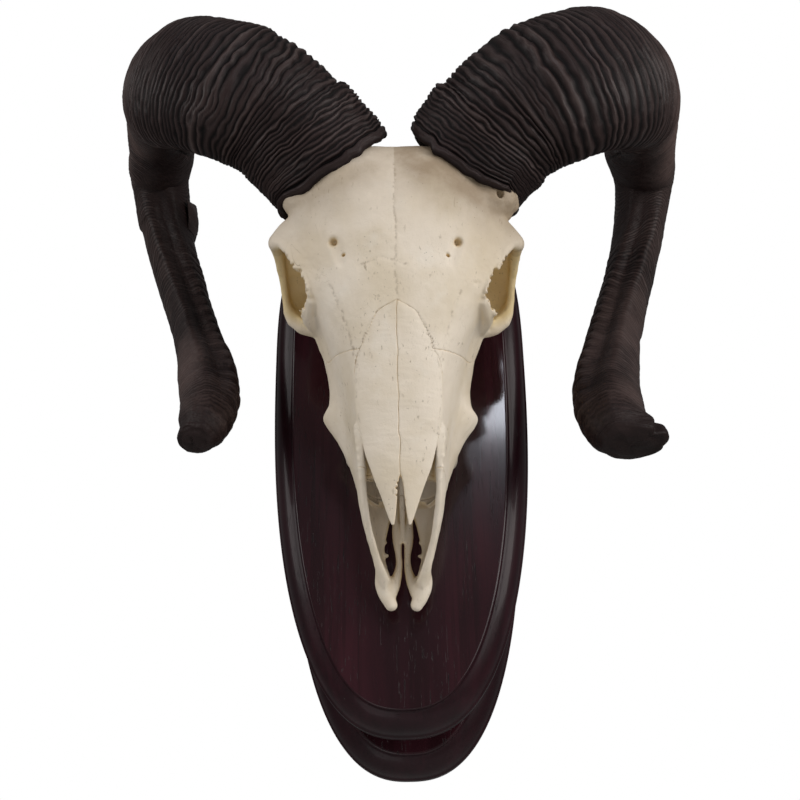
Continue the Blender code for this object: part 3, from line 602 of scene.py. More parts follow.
def surface_nets(values, low, step):
    """Points in millimetres and quads of the zero surface of a grid of distances."""
    inside = values < 0
    some = np.zeros(np.array(values.shape) - 1, bool)
    every = np.ones_like(some)
    for corner in CORNERS:
        top = inside[tuple(slice(c, n - 1 + c) for c, n in zip(corner, values.shape))]
        some |= top
        every &= top
    i, j, k = np.nonzero(some & ~every)
    at = [values[i + c[0], j + c[1], k + c[2]] for c in CORNERS]
    total = np.zeros((len(i), 3), np.float32)
    hits = np.zeros(len(i), np.float32)
    for a, b in EDGES:
        crossing = (at[a] < 0) != (at[b] < 0)
        share = at[a] / np.where(crossing, at[a] - at[b], 1)
        place = CORNERS[a] + share[:, None] * (CORNERS[b] - CORNERS[a])
        total += np.where(crossing[:, None], place, 0)
        hits += crossing
    points = low + step * (np.stack([i, j, k], axis=1) + total / hits[:, None])
    number = np.full(some.shape, -1, np.int32)
    number[i, j, k] = np.arange(len(i))
    quads = []
    for axis in range(3):
        ahead = [slice(None)] * 3
        behind = [slice(None)] * 3
        ahead[axis] = slice(1, None)
        behind[axis] = slice(None, -1)
        spot = np.array(np.nonzero(inside[tuple(ahead)] != inside[tuple(behind)]))
        u, v = (axis + 1) % 3, (axis + 2) % 3
        corners = []
        for du, dv in ((1, 1), (0, 1), (0, 0), (1, 0)):
            place = spot.copy()
            place[u] -= du
            place[v] -= dv
            corners.append(number[tuple(place)])
        quad = np.stack(corners, axis=1)
        inward = inside[tuple(spot)]
        quads.append(np.where(inward[:, None], quad[:, ::-1], quad))
    return points, np.concatenate(quads)


def mesh_piece(name, points, quads, finish, slot, *nodes):
    """A smooth mesh piece from room points and quads; it rides on the plaque's body."""
    mesh = bpy.data.meshes.new(name)
    mesh.vertices.add(len(points))
    mesh.vertices.foreach_set("co", np.asarray(points, np.float32).ravel())
    mesh.loops.add(quads.size)
    mesh.loops.foreach_set("vertex_index", quads.ravel().astype(np.int32))
    mesh.polygons.add(len(quads))
    mesh.polygons.foreach_set("loop_start", np.arange(0, quads.size, 4, dtype=np.int32))
    mesh.update(calc_edges=True)
    mesh.validate()
    mesh.shade_smooth()
    mesh.materials.append(finish)
    piece = bpy.data.objects.new(name, mesh)
    bpy.context.collection.objects.link(piece)
    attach(piece, "root")
    if nodes:
        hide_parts(*nodes)
    print(f"{name}: {len(quads)} quads")
    return piece


def mark(piece, **columns):
    """Give every point of a piece numbers that its finish can read."""
    for name, column in columns.items():
        made = piece.data.attributes.new(name, "FLOAT", "POINT")
        made.data.foreach_set("value", np.ascontiguousarray(column, np.float32))


# %% [markdown]
# ## A small language for finishes
# Every finish is a graph of nodes, but it reads best as sums. A Wire wraps an output socket, and
# each arithmetic sign on it adds one Math node, so that `1 - mask * 0.5` is real shader maths.
# Colours go through Mix nodes instead, because a Math node would turn them grey: a finish is laid
# on like paint, coat over coat. All other nodes come from one method, which sets the node's own
# settings before it fills the sockets.

# %% Wires and finishes
class Wire:
    """An output of a node, which can be used in sums."""

    def __init__(self, graph, socket):
        self.graph = graph
        self.socket = socket

    def maths(self, kind, *values, clamp=False):
        return self.graph.node("Math", {"operation": kind, "use_clamp": clamp},
                               dict(enumerate(values)))

    def __add__(self, other):
        return self.maths("ADD", self, other)

    def __sub__(self, other):
        return self.maths("SUBTRACT", self, other)

    def __rsub__(self, other):
        return self.maths("SUBTRACT", other, self)

    def __mul__(self, other):
        return self.maths("MULTIPLY", self, other)

    def __pow__(self, other):
        return self.maths("POWER", self, other)

    def __abs__(self):
        return self.maths("ABSOLUTE", self)

    __radd__ = __add__
    __rmul__ = __mul__

    def between(self, low, high):
        """0 below low, 1 above high, and a smooth ramp from one to the other."""
        return self.graph.node("MapRange", {"interpolation_type": "SMOOTHSTEP"},
                               {0: self, 1: low, 2: high})

    def held(self):
        """Kept from 0 to 1."""
        return self.maths("ADD", self, 0.0, clamp=True)


class Graph:
    """A graph of nodes and the tool to add to it."""

    def __init__(self, tree):
        self.tree = tree

    def feed(self, socket, value):
        if isinstance(value, Wire):
            self.tree.links.new(value.socket, socket)
        else:
            socket.default_value = value

    def node(self, kind, settings, sockets, out=0):
        """Add a node: first its settings, then the values or wires of its sockets."""
        made = self.tree.nodes.new("ShaderNode" + kind)
        for key, value in settings.items():
            setattr(made, key, value)
        for key, value in sockets.items():
            self.feed(made.inputs[key], value)
        return Wire(self, made.outputs[out])


class Finish(Graph):
    """A material with one Principled shader, and the tools to feed it."""

    def __init__(self, name, **same_all_over):
        self.material = bpy.data.materials.new(name)
        self.material.use_nodes = True
        super().__init__(self.material.node_tree)
        self.shader = self.tree.nodes["Principled BSDF"]
        self.set(**same_all_over)

    def place(self, *stretch):
        """Places on the object in metres, stretched along each axis."""
        spot = self.node("TexCoord", {}, {}, out="Object")
        return self.node("VectorMath", {"operation": "MULTIPLY"}, {0: spot, 1: stretch})

    def grain(self, scale, detail=2.0, rough=0.5, at=None, bend=0.0):
        """Soft random numbers round 0.5, with so many bumps to the metre."""
        return self.node("TexNoise", {}, {"Scale": scale, "Detail": detail, "Roughness": rough,
                                          "Distortion": bend, "Vector": at or self.place(1, 1, 1)})

    def dots(self, scale):
        """Distance to the nearest of many scattered dots, in cells."""
        return self.node("TexVoronoi", {}, {"Scale": scale, "Vector": self.place(1, 1, 1)})

    def number(self, name):
        """A number that every point of the mesh carries."""
        return self.node("Attribute", {"attribute_type": "GEOMETRY", "attribute_name": name}, {},
                         out="Fac")

    def coats(self, ground, *coats):
        """A ground colour under coats; each coat is how much of it shows, and its colour."""
        colour = (*ground, 1.0)
        for share, tint in coats:
            colour = self.node("Mix", {"data_type": "RGBA"},
                               {0: share, 6: colour, 7: (*tint, 1.0)}, out=2)
        return colour

    def bumps(self, *layers):
        """Bump nodes in a chain; each layer is a height and its size in metres."""
        normal = None
        for height, size in layers:
            below = {"Normal": normal} if normal else {}
            normal = self.node("Bump", {}, {"Height": height, "Strength": 1.0, "Distance": size,
                                            **below})
        self.set(Normal=normal)

    def set(self, **values):
        """Fill the shader's own sockets; an underscore stands for a space."""
        for name, value in values.items():
            self.feed(self.shader.inputs[name.replace("_", " ")], value)


# %% [markdown]
# ## Bone
# Dry bone is matt and warm, but never one colour. Where it is closed in, in hollows, it is painted
# yellower and darker, partly yellowing of the bone and partly painted shade; beside the horns it is
# painted darker, partly a stain and partly the horns' painted shadow, most on the right. Fine holes
# and cracks fill with dust; sutures are thin dark lines that come and go. The mesh carries numbers
# for how hollow each place is, how near a suture, how deep in the eye socket, which places are
# rough, and how stained and shaded beside the horns, and the finish mixes its colours by them.

# %% Bone finish
def bone_finish():
    bone = Finish("dry_bone", Specular_IOR_Level=0.4)
    hollow, rough = bone.number("hollow"), bone.number("rough")
    chalk = bone.grain(60, 4, 0.6).between(0.52, 0.72)
    stain = bone.grain(75, 4, 0.6)
    # A stain beside the horns with the horns' painted shadow in it, made patchy.
    stained_and_shaded = (bone.number("greasy") * (0.45 + 0.9 * stain)).held()
    dusty_seam = bone.number("seam") * bone.grain(420, 2).between(0.40, 0.66)
    crack = abs(bone.grain(95, 3, 0.6, bone.place(1.0, 0.5, 0.42), 0.6) - 0.5)
    cracked = bone.grain(38, 1).between(0.5, 0.62) * (0.25 + 0.75 * rough)
    cracks = (1 - crack.between(0.0, 0.006)) * cracked
    specks = (1 - bone.dots(330).between(0.05, 0.13)) * bone.grain(30, 2).between(0.48, 0.62)
    strokes = bone.grain(1.0, 3, 0.6, bone.place(620, 500, 170)).between(0.61, 0.70)
    streaky = bone.grain(42, 2).between(0.46, 0.62) * (1 - hollow * 1.5).held()
    pores = bone.grain(1500, 2, 0.6)
    bone.bumps((bone.grain(420, 4, 0.65), 0.00022), (pores, 0.00008), (1 - cracks, 0.0001))
    bone.set(Roughness=(0.52 + 0.22 * pores).held(), Base_Color=bone.coats(
        (0.775, 0.68, 0.56),
        (bone.grain(28, 3, 0.55).between(0.35, 0.7), (0.67, 0.57, 0.43)),
        (chalk * 0.35, (0.79, 0.725, 0.63)),
        (rough * 0.5, (0.62, 0.50, 0.34)),
        # Painted shade in hollows, with some yellowing of the bone: darker and yellower where closed in.
        ((hollow * 1.2 - 0.22).held(), (0.68, 0.51, 0.255)),
        ((bone.number("socket") * (0.5 + 0.6 * stain)).held(), (0.66, 0.50, 0.23)),
        # Painted shadow of the horns, mixed with a stain: darker beside them.
        (stained_and_shaded * 0.95, (0.28, 0.205, 0.13)),
        (dusty_seam.held() * 0.5, (0.22, 0.15, 0.09)),
        (cracks.held() * 0.5, (0.24, 0.17, 0.10)),
        (specks.held() * 0.55, (0.20, 0.15, 0.10)),
        ((strokes * streaky).held() * 0.65, (0.28, 0.21, 0.135))))
    return bone.material


bone = bone_finish()

# %% [markdown]
# ## Parting the bones
# The whole is parted where the real sutures run: each bone is the field cut by the field of its
# own region, plus a hair of overlap, so that every bone is a closed solid and the joins, which are
# almost closed in this grown animal, stay faint. Only down the middle of the nose do two bones
# meet edge to edge, along a line that wanders a little. The back of the brain case, which only
# shows from behind, is meshed twice as coarse.

# %% Regions
HAIR = 0.15                    # how far each bone reaches past its own region
# Side outlines, as p and h.
MAXILLA = ((100.5, -9), (100.5, 33), (128, 40), (141, 54), (156, 104), (156, 140), (300, 140),
           (300, -9))
REAR = ((0, -9), (0, 84), (57, 84), (66, 72), (84, 60), (84, 42), (100.3, 42), (100.3, -9))
SNOUT_SEAM = 204.2


def region(corners):
    """Distance to a side outline of p and h, negative inside, for every grid place."""
    _, p, h = whole.lines()
    p, h = p[0], h[0]
    closed = list(corners) + [corners[0]]
    edge = line_distance(p, h, closed)
    return np.where(within(p, h, corners), -edge, edge).astype(np.float32)[None]


def edge_distance(x, p, line, reach=3.0):
    """Distance from many places to a line; places farther off than reach all get that."""
    best = np.full(x.shape, reach)
    along = [q for _, q in line]
    close = np.nonzero((p > min(along) - reach) & (p < max(along) + reach))[0]
    if len(close):
        best[close] = np.minimum(line_distance(x[close], p[close], line), reach)
    return best


# Where the horn's rim lies on the forehead, as x and p; beside it the bone is painted darker, partly
# a stain and partly the horns' painted shadow, most on the right.
HORN_FOOT = [(9, 36), (18, 48.4), (31.6, 58.4), (42, 63.8), (51, 66), (58.7, 67)]
STAIN_AND_SHADOW_REACH = 60.0


def stains_and_horn_shadow(x, p, h):
    """How much each place is painted darker: a stain with the horns' painted shadow beside them, and a
    darker patch in the middle of the forehead.
    """
    foot = np.where(h > 80, edge_distance(np.abs(x), p, HORN_FOOT, STAIN_AND_SHADOW_REACH), STAIN_AND_SHADOW_REACH)
    beside = sum(much * np.exp(-(foot / width) ** 2)
                 for much, width in ((0.5, 36), (0.75, 18), (0.4, 6)))
    middle = 0.3 * np.exp(-(x / 34) ** 2 - ((p - 62) / 30) ** 2)
    # Stronger on the right, where the horn's painted shadow falls heavier.
    return np.clip(beside + middle, 0, 1) * np.where(x > 0, 1.0, 0.65)


def bone_piece(name, field, keep, node, coarse=1, hair=HAIR):
    """Cut one bone out of a field, mesh it and mark its points."""
    thin = (slice(None, None, coarse),) * 3
    values = np.maximum(field.values[thin], keep[thin] - hair)
    filled = values < 0
    spans = []
    for axis in range(3):
        used = np.nonzero(filled.any(axis=tuple(a for a in range(3) if a != axis)))[0]
        spans.append(slice(max(used[0] - 2, 0), used[-1] + 3))
    step = field.step * coarse
    low = field.low + step * np.array([s.start for s in spans])
    points, quads = surface_nets(values[tuple(spans)], low, step)
    piece = mesh_piece(name, to_room(points), quads, bone, "bone", node)
    normals = np.empty(3 * len(points), np.float32)
    piece.data.vertex_normals.foreach_get("vector", normals)
    out = normals.reshape(-1, 3)[:, [0, 2, 1]] * (1, -1, -1)
    # How closed in each place is, from the field along its normal; the finish paints shade and yellow by it.
    closed = sum(1 - np.clip(field.at(points + out * d) / d, 0, 1) for d in (1.5, 3.5, 8.0)) / 3
    side_x, p, h = points.T
    mirror_x = np.abs(side_x)
    cup = [np.sqrt(sum(((c - q) / r) ** 2 for c, q, r in zip((mirror_x, p, h), s[:3], s[3:])))
           for s in SOCKET]
    seam = np.minimum.reduce([edge_distance(side_x, p, line) for line in SUTURES.values()])
    seam = np.minimum(seam, edge_distance(mirror_x, p, NASAL_EDGE) + 0.25)
    mark(piece, hollow=closed, seam=np.exp(-(seam / 0.55) ** 2) * (out[:, 2] > 0.3) * (h > 62),
         socket=np.clip(1.25 - np.minimum(*cup), 0, 0.25) * 4 * (h < 91.5),
         rough=np.clip(1.2 - np.hypot(mirror_x - 48, (p - 108) * 0.7) / 17, 0, 1),
         greasy=stains_and_horn_shadow(side_x, p, h))


# %% The bones
upper_jaw = region(MAXILLA)
rear = region(REAR)
x, p, h = whole.lines()
behind_seam = p - SNOUT_SEAM
parting = nose_all.lines()[0] - 0.5 * soft_noise((nose_all.count[1], 2), (22, 1), 8)[None, :, :1]
bone_piece("forehead", whole, np.maximum(-upper_jaw, -rear), "cranium")
bone_piece("brain_case", whole, np.maximum(-upper_jaw, rear), "cranium", coarse=2)
for name, side in (("left", -1), ("right", 1)):
    half = -side * x
    bone_piece("upper_jaw_" + name, whole, np.maximum(np.maximum(upper_jaw, behind_seam), half),
               "maxilla_" + name)
    bone_piece("snout_" + name, whole, np.maximum(-behind_seam, half), "premaxilla_" + name)
    bone_piece("nose_roof_" + name, nose_all, -side * parting, "nasal_" + name, hair=0.0)

# %% [markdown]
# ## Horns
# A ram's horn is a sheath of keratin over a bone core. It grows at the base in rings, so its skin
# is a stack of wavy ridges that crowd together inside the bend and fan out outside it. A sweep
# suits that: an oval, whose two half widths and twist change from station to station, is carried
# along a curve, and one sheet of heights, along and around the horn, pushes the skin in and out.

# %% Horn path
# From base to tip: x, p, h of the centre, half the wide and the narrow width, and the way that
# the wide axis points.
HORN_STATIONS = (
    (31.8, 49.2, 90.8, 35.8, 27.0, 0.74, 0.62, -0.25),
    (59.9, 23.3, 105.8, 38.3, 27.0, 0.62, 0.78, -0.10),
    (85.9, 9.2, 110.8, 42.0, 26.5, 0.35, 0.94, 0.00),
    (113.4, -7.1, 98.8, 41.0, 25.5, 0.05, 0.99, 0.10),
    (133.9, -24.6, 70.8, 36.5, 24.5, 0.00, 0.96, 0.29),
    (143.1, -32.8, 34.8, 32.5, 23.0, 0.00, 0.89, 0.45),
    (150.5, -34.4, 0.8, 30.0, 21.3, 0.00, 0.66, 0.75),
    (156.0, -25.0, -23.2, 26.5, 18.9, 0.00, 0.20, 0.98),
    (150.9, 9.7, -35.2, 24.9, 16.5, 0.00, -0.10, 1.00),
    (138.5, 51.2, -31.2, 23.0, 15.8, -0.10, -0.29, 0.95),
    (123.4, 94.5, -13.2, 21.2, 15.8, -0.18, -0.44, 0.88),
    (110.8, 137.6, 12.8, 19.6, 17.0, -0.39, -0.47, 0.79),
    (108.4, 166.0, 34.0, 17.0, 15.5, -0.58, -0.58, 0.58),
    (111.4, 177.8, 40.0, 14.5, 11.0, -0.76, -0.46, 0.46),
)
ROWS, AROUND = ((800, 200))  # of the sheet of points, along and around
TURN = np.arange(AROUND) * (2 * math.pi / AROUND)
fine_path = smooth_rows(HORN_STATIONS, 1400)
path_steps = np.linalg.norm(np.diff(fine_path[:, :3], axis=0), axis=1)
path_run = np.concatenate([[0], np.cumsum(path_steps)])
HORN_LENGTH = float(path_run[-1])
print("horn length", round(HORN_LENGTH), "mm")


def ramp(value, low, high):
    """A smooth rise from 0 at low to 1 at high."""
    share = np.clip((value - low) / (high - low), 0, 1)
    return share * share * (3 - 2 * share)


def hump(middle, width):
    """A soft hump round the horn, in degrees: 90 faces the front, 180 the top of the arch."""
    off = (np.degrees(TURN) - middle + 180) % 360 - 180
    return np.exp(-(off / width) ** 2)


# %% [markdown]
# The ridges come from one running number, the phase, which grows by one from ridge to ridge. Its
# spacing is random, close in the collar at the base and wider after it, and smooth noise pushes it
# back and forth round the horn, so that the ridges wave and crowd as real ones do. Their crests
# are broad and the grooves between them narrow, and in patches one ridge splits into two.

# %% Ridge heights
# Where the arch turns over into the falling limb a crease crosses the inner side: as degrees
# round the horn and millimetres along it.
CREASE = ((-180, 240), (-80, 212), (-51, 186), (-28, 164), (0, 142), (180, 60))
COLLAR = {-1: 31.0, 1: 27.0}   # how long the youngest growth at the base is, with close ridges
WIDER = {-1: 0.9, 1: 1.5}      # how much wider the ridges are spaced after it
FOLD_GAP, FOLD_HEIGHT = 9.5, 3.0
CLOSE_GAP = 2.3                # from ridge to ridge in the collar


def ridge_starts(side, draw):
    """Where along the horn each ridge begins; they crowd again where the arch ends."""
    collar = COLLAR[side]
    starts = [-20.0]
    while starts[-1] < HORN_LENGTH + 30:
        at = starts[-1]
        arch_end = ramp(at, 110, 180)
        gap = CLOSE_GAP + WIDER[side] * (ramp(at, collar - 3, collar + 6) - arch_end) + 0.1 * arch_end
        starts.append(at + gap * draw.uniform(0.68, 1.4))
    return starts


def ridge_sheet(run, side, seed):
    """Heights in millimetres and crest numbers, for rows along and columns around the horn."""
    def sheet(along, around, key):
        return soft_noise((len(run), AROUND), (along, around), seed + key, closed=True)

    draw = np.random.default_rng(seed)
    collar = COLLAR[side]
    starts = ridge_starts(side, draw)
    strength = draw.uniform(0.5, 1.0, len(starts))
    tilt = 16.0 * (hump(25, 45) - hump(-65, 45))
    warped = (run[:, None] + 1.6 * sheet(13, 5, 1) + 0.9 * sheet(46, 20, 2) + 0.6 * sheet(150, 52, 3)
              + tilt * (ramp(run, 120, 190) * (1 - ramp(run, 270, 340)))[:, None])
    phase = np.interp(warped, starts, np.arange(len(starts)))
    strong = np.interp(phase, np.arange(len(starts)) + 0.5, strength)
    whole_ridge = np.abs(np.sin(math.pi * phase)) ** (1.25 - 0.4 * ramp(run, 90, 150))[:, None]
    split_ridge = np.abs(np.sin(2 * math.pi * phase)) ** 0.7
    split = ramp(sheet(24, 8, 4), 0.25, 0.7) * 0.75
    crest = whole_ridge * (1 - split) + split_ridge * split
    fine = np.abs(np.sin(math.pi * (2.63 * phase + 1.3 * sheet(50, 9, 8)))) ** 0.8
    height = 1.7 + 0.9 * ramp(run, collar - 4, collar + 8) - 1.7 * ramp(run, 100, 215) \
        - 0.45 * ramp(run, 215, 270)
    height = height[:, None] * (0.62 + 0.38 * hump(125, 85)) * (1 - 0.3 * hump(0, 40))
    patch = 0.82 + 0.34 * sheet(26, 7, 5)
    heights = height * patch * (strong * (crest - 0.6) + 0.16 * (fine - 0.6))
    # The collar stands out, with an undercut after it; three fainter steps follow.
    past = warped + 1.6 * sheet(3, 7, 11) - collar
    over = ramp(past, -0.7, 0.7)
    heights += (0.5 + 2.0 * hump(180, 55)) * ramp(run, 0, 6)[:, None] * (1 - over)
    heights -= (0.3 + 0.9 * hump(180, 60)) * over * np.exp(-np.maximum(past, 0) / 8)
    for start, step, length in ((collar + 32, 0.9, 20), (collar + 70, 0.9, 26), (142, 0.7, 26)):
        past = warped + 1.6 * sheet(3, 7, int(start)) - start
        fading = ramp(past, -0.8, 1.0) * np.exp(-np.maximum(past, 0) / length)
        heights += step * (0.2 + 0.8 * hump(185, 45)) * fading
    # Down the inner flank of the limb the ridges give way to coarse folds.
    flank = hump(-64, 36) * (ramp(run, 285, 345) * (1 - ramp(run, 455, 480)))[:, None]
    folds = np.abs(np.sin(math.pi * (warped + 2.2 * sheet(30, 4, 9)) / FOLD_GAP)) ** 0.8
    heights += FOLD_HEIGHT * flank * (folds - 0.75)
    heights += 0.45 * sheet(40, 9, 6) + 0.2 * sheet(150, 30, 7) - 0.9
    crest = np.clip(crest * (0.35 + 0.65 * strong), 0, 1)
    crest = crest * (1 - flank) + folds * flank
    bend = np.interp((np.degrees(TURN) + 180) % 360 - 180, *zip(*CREASE))
    off = run[:, None] + 3.0 * sheet(12, 6, 12) - bend
    open_side = hump(-40, 42)
    heights += open_side * (1.0 * np.exp(-((off + 3.5) / 3.0) ** 2) - 2.2 * np.exp(-(off / 1.9) ** 2))
    # Past the crease on the open side the crest number is evened, and with it the painted groove shade and
    # crest highlight.
    calm = open_side * ramp(off, 0, 12) * (1 - ramp(run, 250, 300))[:, None]
    return heights, crest * (1 - 0.8 * calm) + 0.5 * 0.8 * calm


# %% Sweeping a horn
def sheet_quads(rows, columns):
    """Quads of a closed tube of points, with both ends filled across."""
    number = np.arange(rows * columns).reshape(rows, columns)
    after = np.roll(number, -1, axis=1)
    sides = np.stack([number[:-1], after[:-1], after[1:], number[1:]], axis=-1).reshape(-1, 4)
    caps = []
    for ring, order in ((number[0], (0, 3, 2, 1)), (number[-1], (0, 1, 2, 3))):
        half = columns // 2
        i = np.arange(half - 1)
        cap = np.stack([ring[i], ring[i + 1], ring[columns - 2 - i], ring[columns - 1 - i]], axis=-1)
        caps.append(cap[:, order])
    return np.concatenate([sides] + caps)


def frames(run):
    """Centre, half widths and the two axes of the oval at places along the path."""
    rows = np.stack([np.interp(run, path_run, column) for column in fine_path.T], axis=1)
    ahead = np.stack([np.interp(run + 0.5, path_run, c) - np.interp(run - 0.5, path_run, c)
                      for c in fine_path.T[:3]], axis=1)
    ahead[run > HORN_LENGTH - 0.5] = fine_path[-1, :3] - fine_path[-2, :3]
    along = ahead / np.linalg.norm(ahead, axis=1)[:, None]
    wide = rows[:, 5:8] - along * np.sum(rows[:, 5:8] * along, axis=1)[:, None]
    wide /= np.linalg.norm(wide, axis=1)[:, None]
    return rows[:, :3], rows[:, 3:5], along, wide, np.cross(along, wide)


# The mouth of the sheath is rolled in over the bone. Each pair is how far in, and how far ahead.
LIP = ((-8.5, 12.0), (-8.0, 4.0), (-6.5, 0.5), (-4.5, -1.4), (-2.4, -2.2), (-1.0, -1.9),
       (-0.2, -1.0))
TIP_STEPS = 26                 # rings that round the tip off
# How far the edge of the mouth lies ahead, at sixteen places round it.
MOUTH = {
    -1: (0.3, 8.5, 6.5, 2.6, -0.7, -1.5, -4.1, -3.4, -0.9, 0, 0, 0, 0, 0, 0, 0),
    1: (4.8, 6.0, 11.1, 4.4, 1.9, -0.4, -0.1, 3.7, 2.7, 1.0, 0, 0, 0, 0, 0, 1.0),
}
# The two horns of one ram never match. At places along each: how far it lies outward of the common
# path, how far down, and its thickness against the common one.
TOUCH = {
    -1: ((0, 0.0, 0.0, 0.98), (30, 0.2, 0.0, 0.975), (60, 0.0, 0.2, 0.985), (96, -0.2, 1.5, 0.965),
         (130, -1.5, 1.8, 0.93), (152, -2.7, 1.2, 0.92), (200, -2.0, 0, 0.945), (240, -2.0, 0, 0.975),
         (264, -2.6, 0, 1.0), (312, -2.5, 0, 0.985), (345, -2.9, 0, 0.935), (384, -2.7, 0, 0.92),
         (408, -3.4, 0, 1.0), (432, -3.9, 0, 1.0), (456, -4.7, 0, 0.955), (484, -5.0, 0, 0.93)),
    1: ((0, 1.5, 0.4, 0.965), (24, 0.6, 0, 0.99), (52, 0, 0, 1.01), (96, 0.3, -0.6, 1.03),
        (144, 1.2, -0.5, 1.05), (192, 1.6, 0, 1.05), (216, 1.9, 0, 1.03), (240, 2.2, 0, 0.99),
        (264, 2.0, 0, 0.975), (288, 2.1, 0, 1.0), (336, 2.4, 0, 0.99), (384, 3.4, 0, 1.02),
        (408, 4.1, 0, 1.07), (432, 4.3, 0, 1.12), (456, 4.0, 0, 1.15), (484, 3.7, 0, 1.15)),
}


def limb_and_ends(heights, crest, run, side, seed):
    """Reshape the sheet where the horn is not plain ridges: limb, bend, mouth and tip."""
    def noise(cells, key):
        return soft_noise(heights.shape, cells, seed + key, closed=True)

    front = ramp(run, 215, 290) * (1 - 0.75 * ramp(run, HORN_LENGTH - 60, HORN_LENGTH - 10))
    trough = -4.0 * hump(-4, 20) + 1.3 * hump(-34, 12) + 1.1 * hump(30, 13)
    heights = heights + front[:, None] * trough
    mouth = 1 - ramp(run, 2.2, 4.4)[:, None]
    rim = 1.2 * np.exp(-((run - 1.5) / 1.8) ** 2) - 1.0 * np.exp(-((run - 4.0) / 0.8) ** 2)
    heights = heights * (1 - 0.65 * mouth) + rim[:, None] + 0.5 * noise((150, 38), 35) * mouth
    # At the mouth and over the tip the crest number is held even, so the painted groove shade and crest
    # highlight are even there too.
    crest = np.where(run[:, None] < 3.2, 0.7, crest * ramp(run, 3.2, 5.0)[:, None])
    tip = ramp(run, HORN_LENGTH - 14, HORN_LENGTH)[:, None]
    crest = crest * (1 - tip) + 0.5 * tip
    heights = heights - 5.0 * np.exp(-((run - 196) / 26) ** 2)[:, None] * hump(-10, 52)
    heights = heights + 2.2 * np.exp(-run / 14)[:, None] * hump(105, 55)
    if side > 0:
        lobes = 9.0 * hump(124, 42) - 3.5 * hump(104, 6) - 1.5 * hump(140, 6)
        return heights + lobes * ramp(run, HORN_LENGTH - 18, HORN_LENGTH - 1)[:, None], crest
    broken = run[:, None] + 3.0 * noise((8, 7), 33)
    ledge = ramp(broken, 246, 272) * (1 - ramp(broken, 272, 273.2))
    return heights + 0.9 * ledge * hump(70, 60), crest


def slides(run, side, seed):
    """How far each place is pushed along the horn: a ragged mouth, and a slanting right tip."""
    ragged = sum(much * soft_noise((2, AROUND), (1, cells), seed + key, closed=True)[0]
                 for much, cells, key in ((1.9, 17, 30), (0.8, 48, 31)))
    drawn_back = np.interp(TURN, np.arange(17) * math.pi / 8, MOUTH[side] + MOUTH[side][:1])
    slide = ragged * np.exp(-run / 9.0)[:, None] + drawn_back * np.exp(-run / 16)[:, None]
    if side > 0:
        slide = slide + 6.0 * hump(118, 60) * ramp(run, HORN_LENGTH - 40, HORN_LENGTH)[:, None]
    return slide


def horn_points(side, tip_reach, seed):
    """Skull places of a horn's rings, with how far along and how much of a crest each is."""
    share = np.linspace(0, 1, ROWS)
    run = HORN_LENGTH * (0.62 * share + 0.38 * share ** 2)
    centre, half, along, wide, narrow = frames(run)
    heights, crest = ridge_sheet(run, side, seed)
    heights, crest = limb_and_ends(heights, crest, run, side, seed)
    touch = smooth_rows(TOUCH[side], 400)
    out, down, thick = (np.interp(run, touch[:, 0], column) for column in touch[:, 1:].T)
    centre = centre + np.stack([out, down, 0 * run], axis=1)
    half = half * thick[:, None]
    slide = slides(run, side, seed)
    cos, sin = np.cos(TURN), np.sin(TURN)

    def ring(k, grow, ahead):
        return (centre[k] + np.outer((half[k, 0] + grow) * cos, wide[k])
                + np.outer((half[k, 1] + grow) * sin, narrow[k]) + np.outer(ahead, along[k]))

    body = [ring(k, heights[k], slide[k]) for k in range(ROWS)]
    lip = [ring(0, heights[0] + grow, slide[0] + ahead) for grow, ahead in LIP]
    tip = []
    rugged = soft_noise((TIP_STEPS, AROUND), (5, 9), seed + 40, closed=True)
    middle = body[-1].mean(axis=0)
    for k in range(1, TIP_STEPS):
        turn = math.pi / 2 * k / (TIP_STEPS - 0.6)
        spot = middle + (body[-1] - middle) * math.cos(turn) ** 0.62
        reach = (tip_reach + 1.1 * rugged[k]) * math.sin(turn)
        tip.append(spot + reach[:, None] * along[-1])
    points = np.concatenate(lip + body + tip) * (side, 1, 1)
    run_all = np.concatenate([np.zeros(len(lip)), run, np.full(len(tip), HORN_LENGTH)])
    crest_all = np.pad(crest, ((len(lip), len(tip)), (0, 0)), constant_values=((0.4, 0.5), (0, 0)))
    return points, run_all, crest_all, body, run


# %% [markdown]
# Keratin is dark and a little waxy. Its grooves are painted nearly black, which is painted shade, and
# its crests are painted paler, which is painted highlight; the outside of each bend has worn to a dull
# brown. Fine rings run round it, so their noise is laid out along and around the horn instead of in
# the room.

# %% Horn finish
def horn_finish():
    horn = Finish("ringed_horn", Specular_IOR_Level=0.125)
    crest = horn.number("crest")
    skin = horn.node("CombineXYZ", {}, {0: horn.number("along"), 1: horn.number("around")})
    stretched = horn.node("VectorMath", {"operation": "MULTIPLY"}, {0: skin, 1: (900.0, 2.6, 1.0)})
    rings = horn.grain(1.0, 3, 0.65, stretched)
    cloud = horn.grain(36, 4, 0.6)
    pale = (horn.number("wear") * horn.grain(22, 3, 0.6).between(0.3, 0.66)).held()
    dust = horn.grain(900, 3, 0.6)
    horn.bumps((rings, 0.00045), (horn.grain(420, 3, 0.6), 0.00022), (dust, 0.00007))
    horn.set(Roughness=(0.25 + 0.16 * cloud + 0.32 * (1 - crest)).held(), Base_Color=horn.coats(
        (0.0105, 0.0052, 0.0052),
        (cloud.between(0.32, 0.7), (0.0185, 0.0098, 0.0094)),
        # Painted shade: the grooves between the ridges near black.
        ((1.06 - crest * 1.75).held(), (0.0016, 0.0010, 0.0010)),
        # Painted highlight: a paler line along each crest.
        ((crest ** 4 * 0.85).held(), (0.075, 0.054, 0.050)),
        (pale * 0.9, (0.135, 0.090, 0.080)),
        (rings.between(0.5, 0.72) * 0.5, (0.0045, 0.003, 0.0028)),
        (dust.between(0.6, 0.78) * 0.2, (0.06, 0.05, 0.042))))
    return horn.material


# %% The horns
horn_skin = horn_finish()
WORN = {-1: 1.0, 1: 0.8}       # how much of its worn brown each horn shows


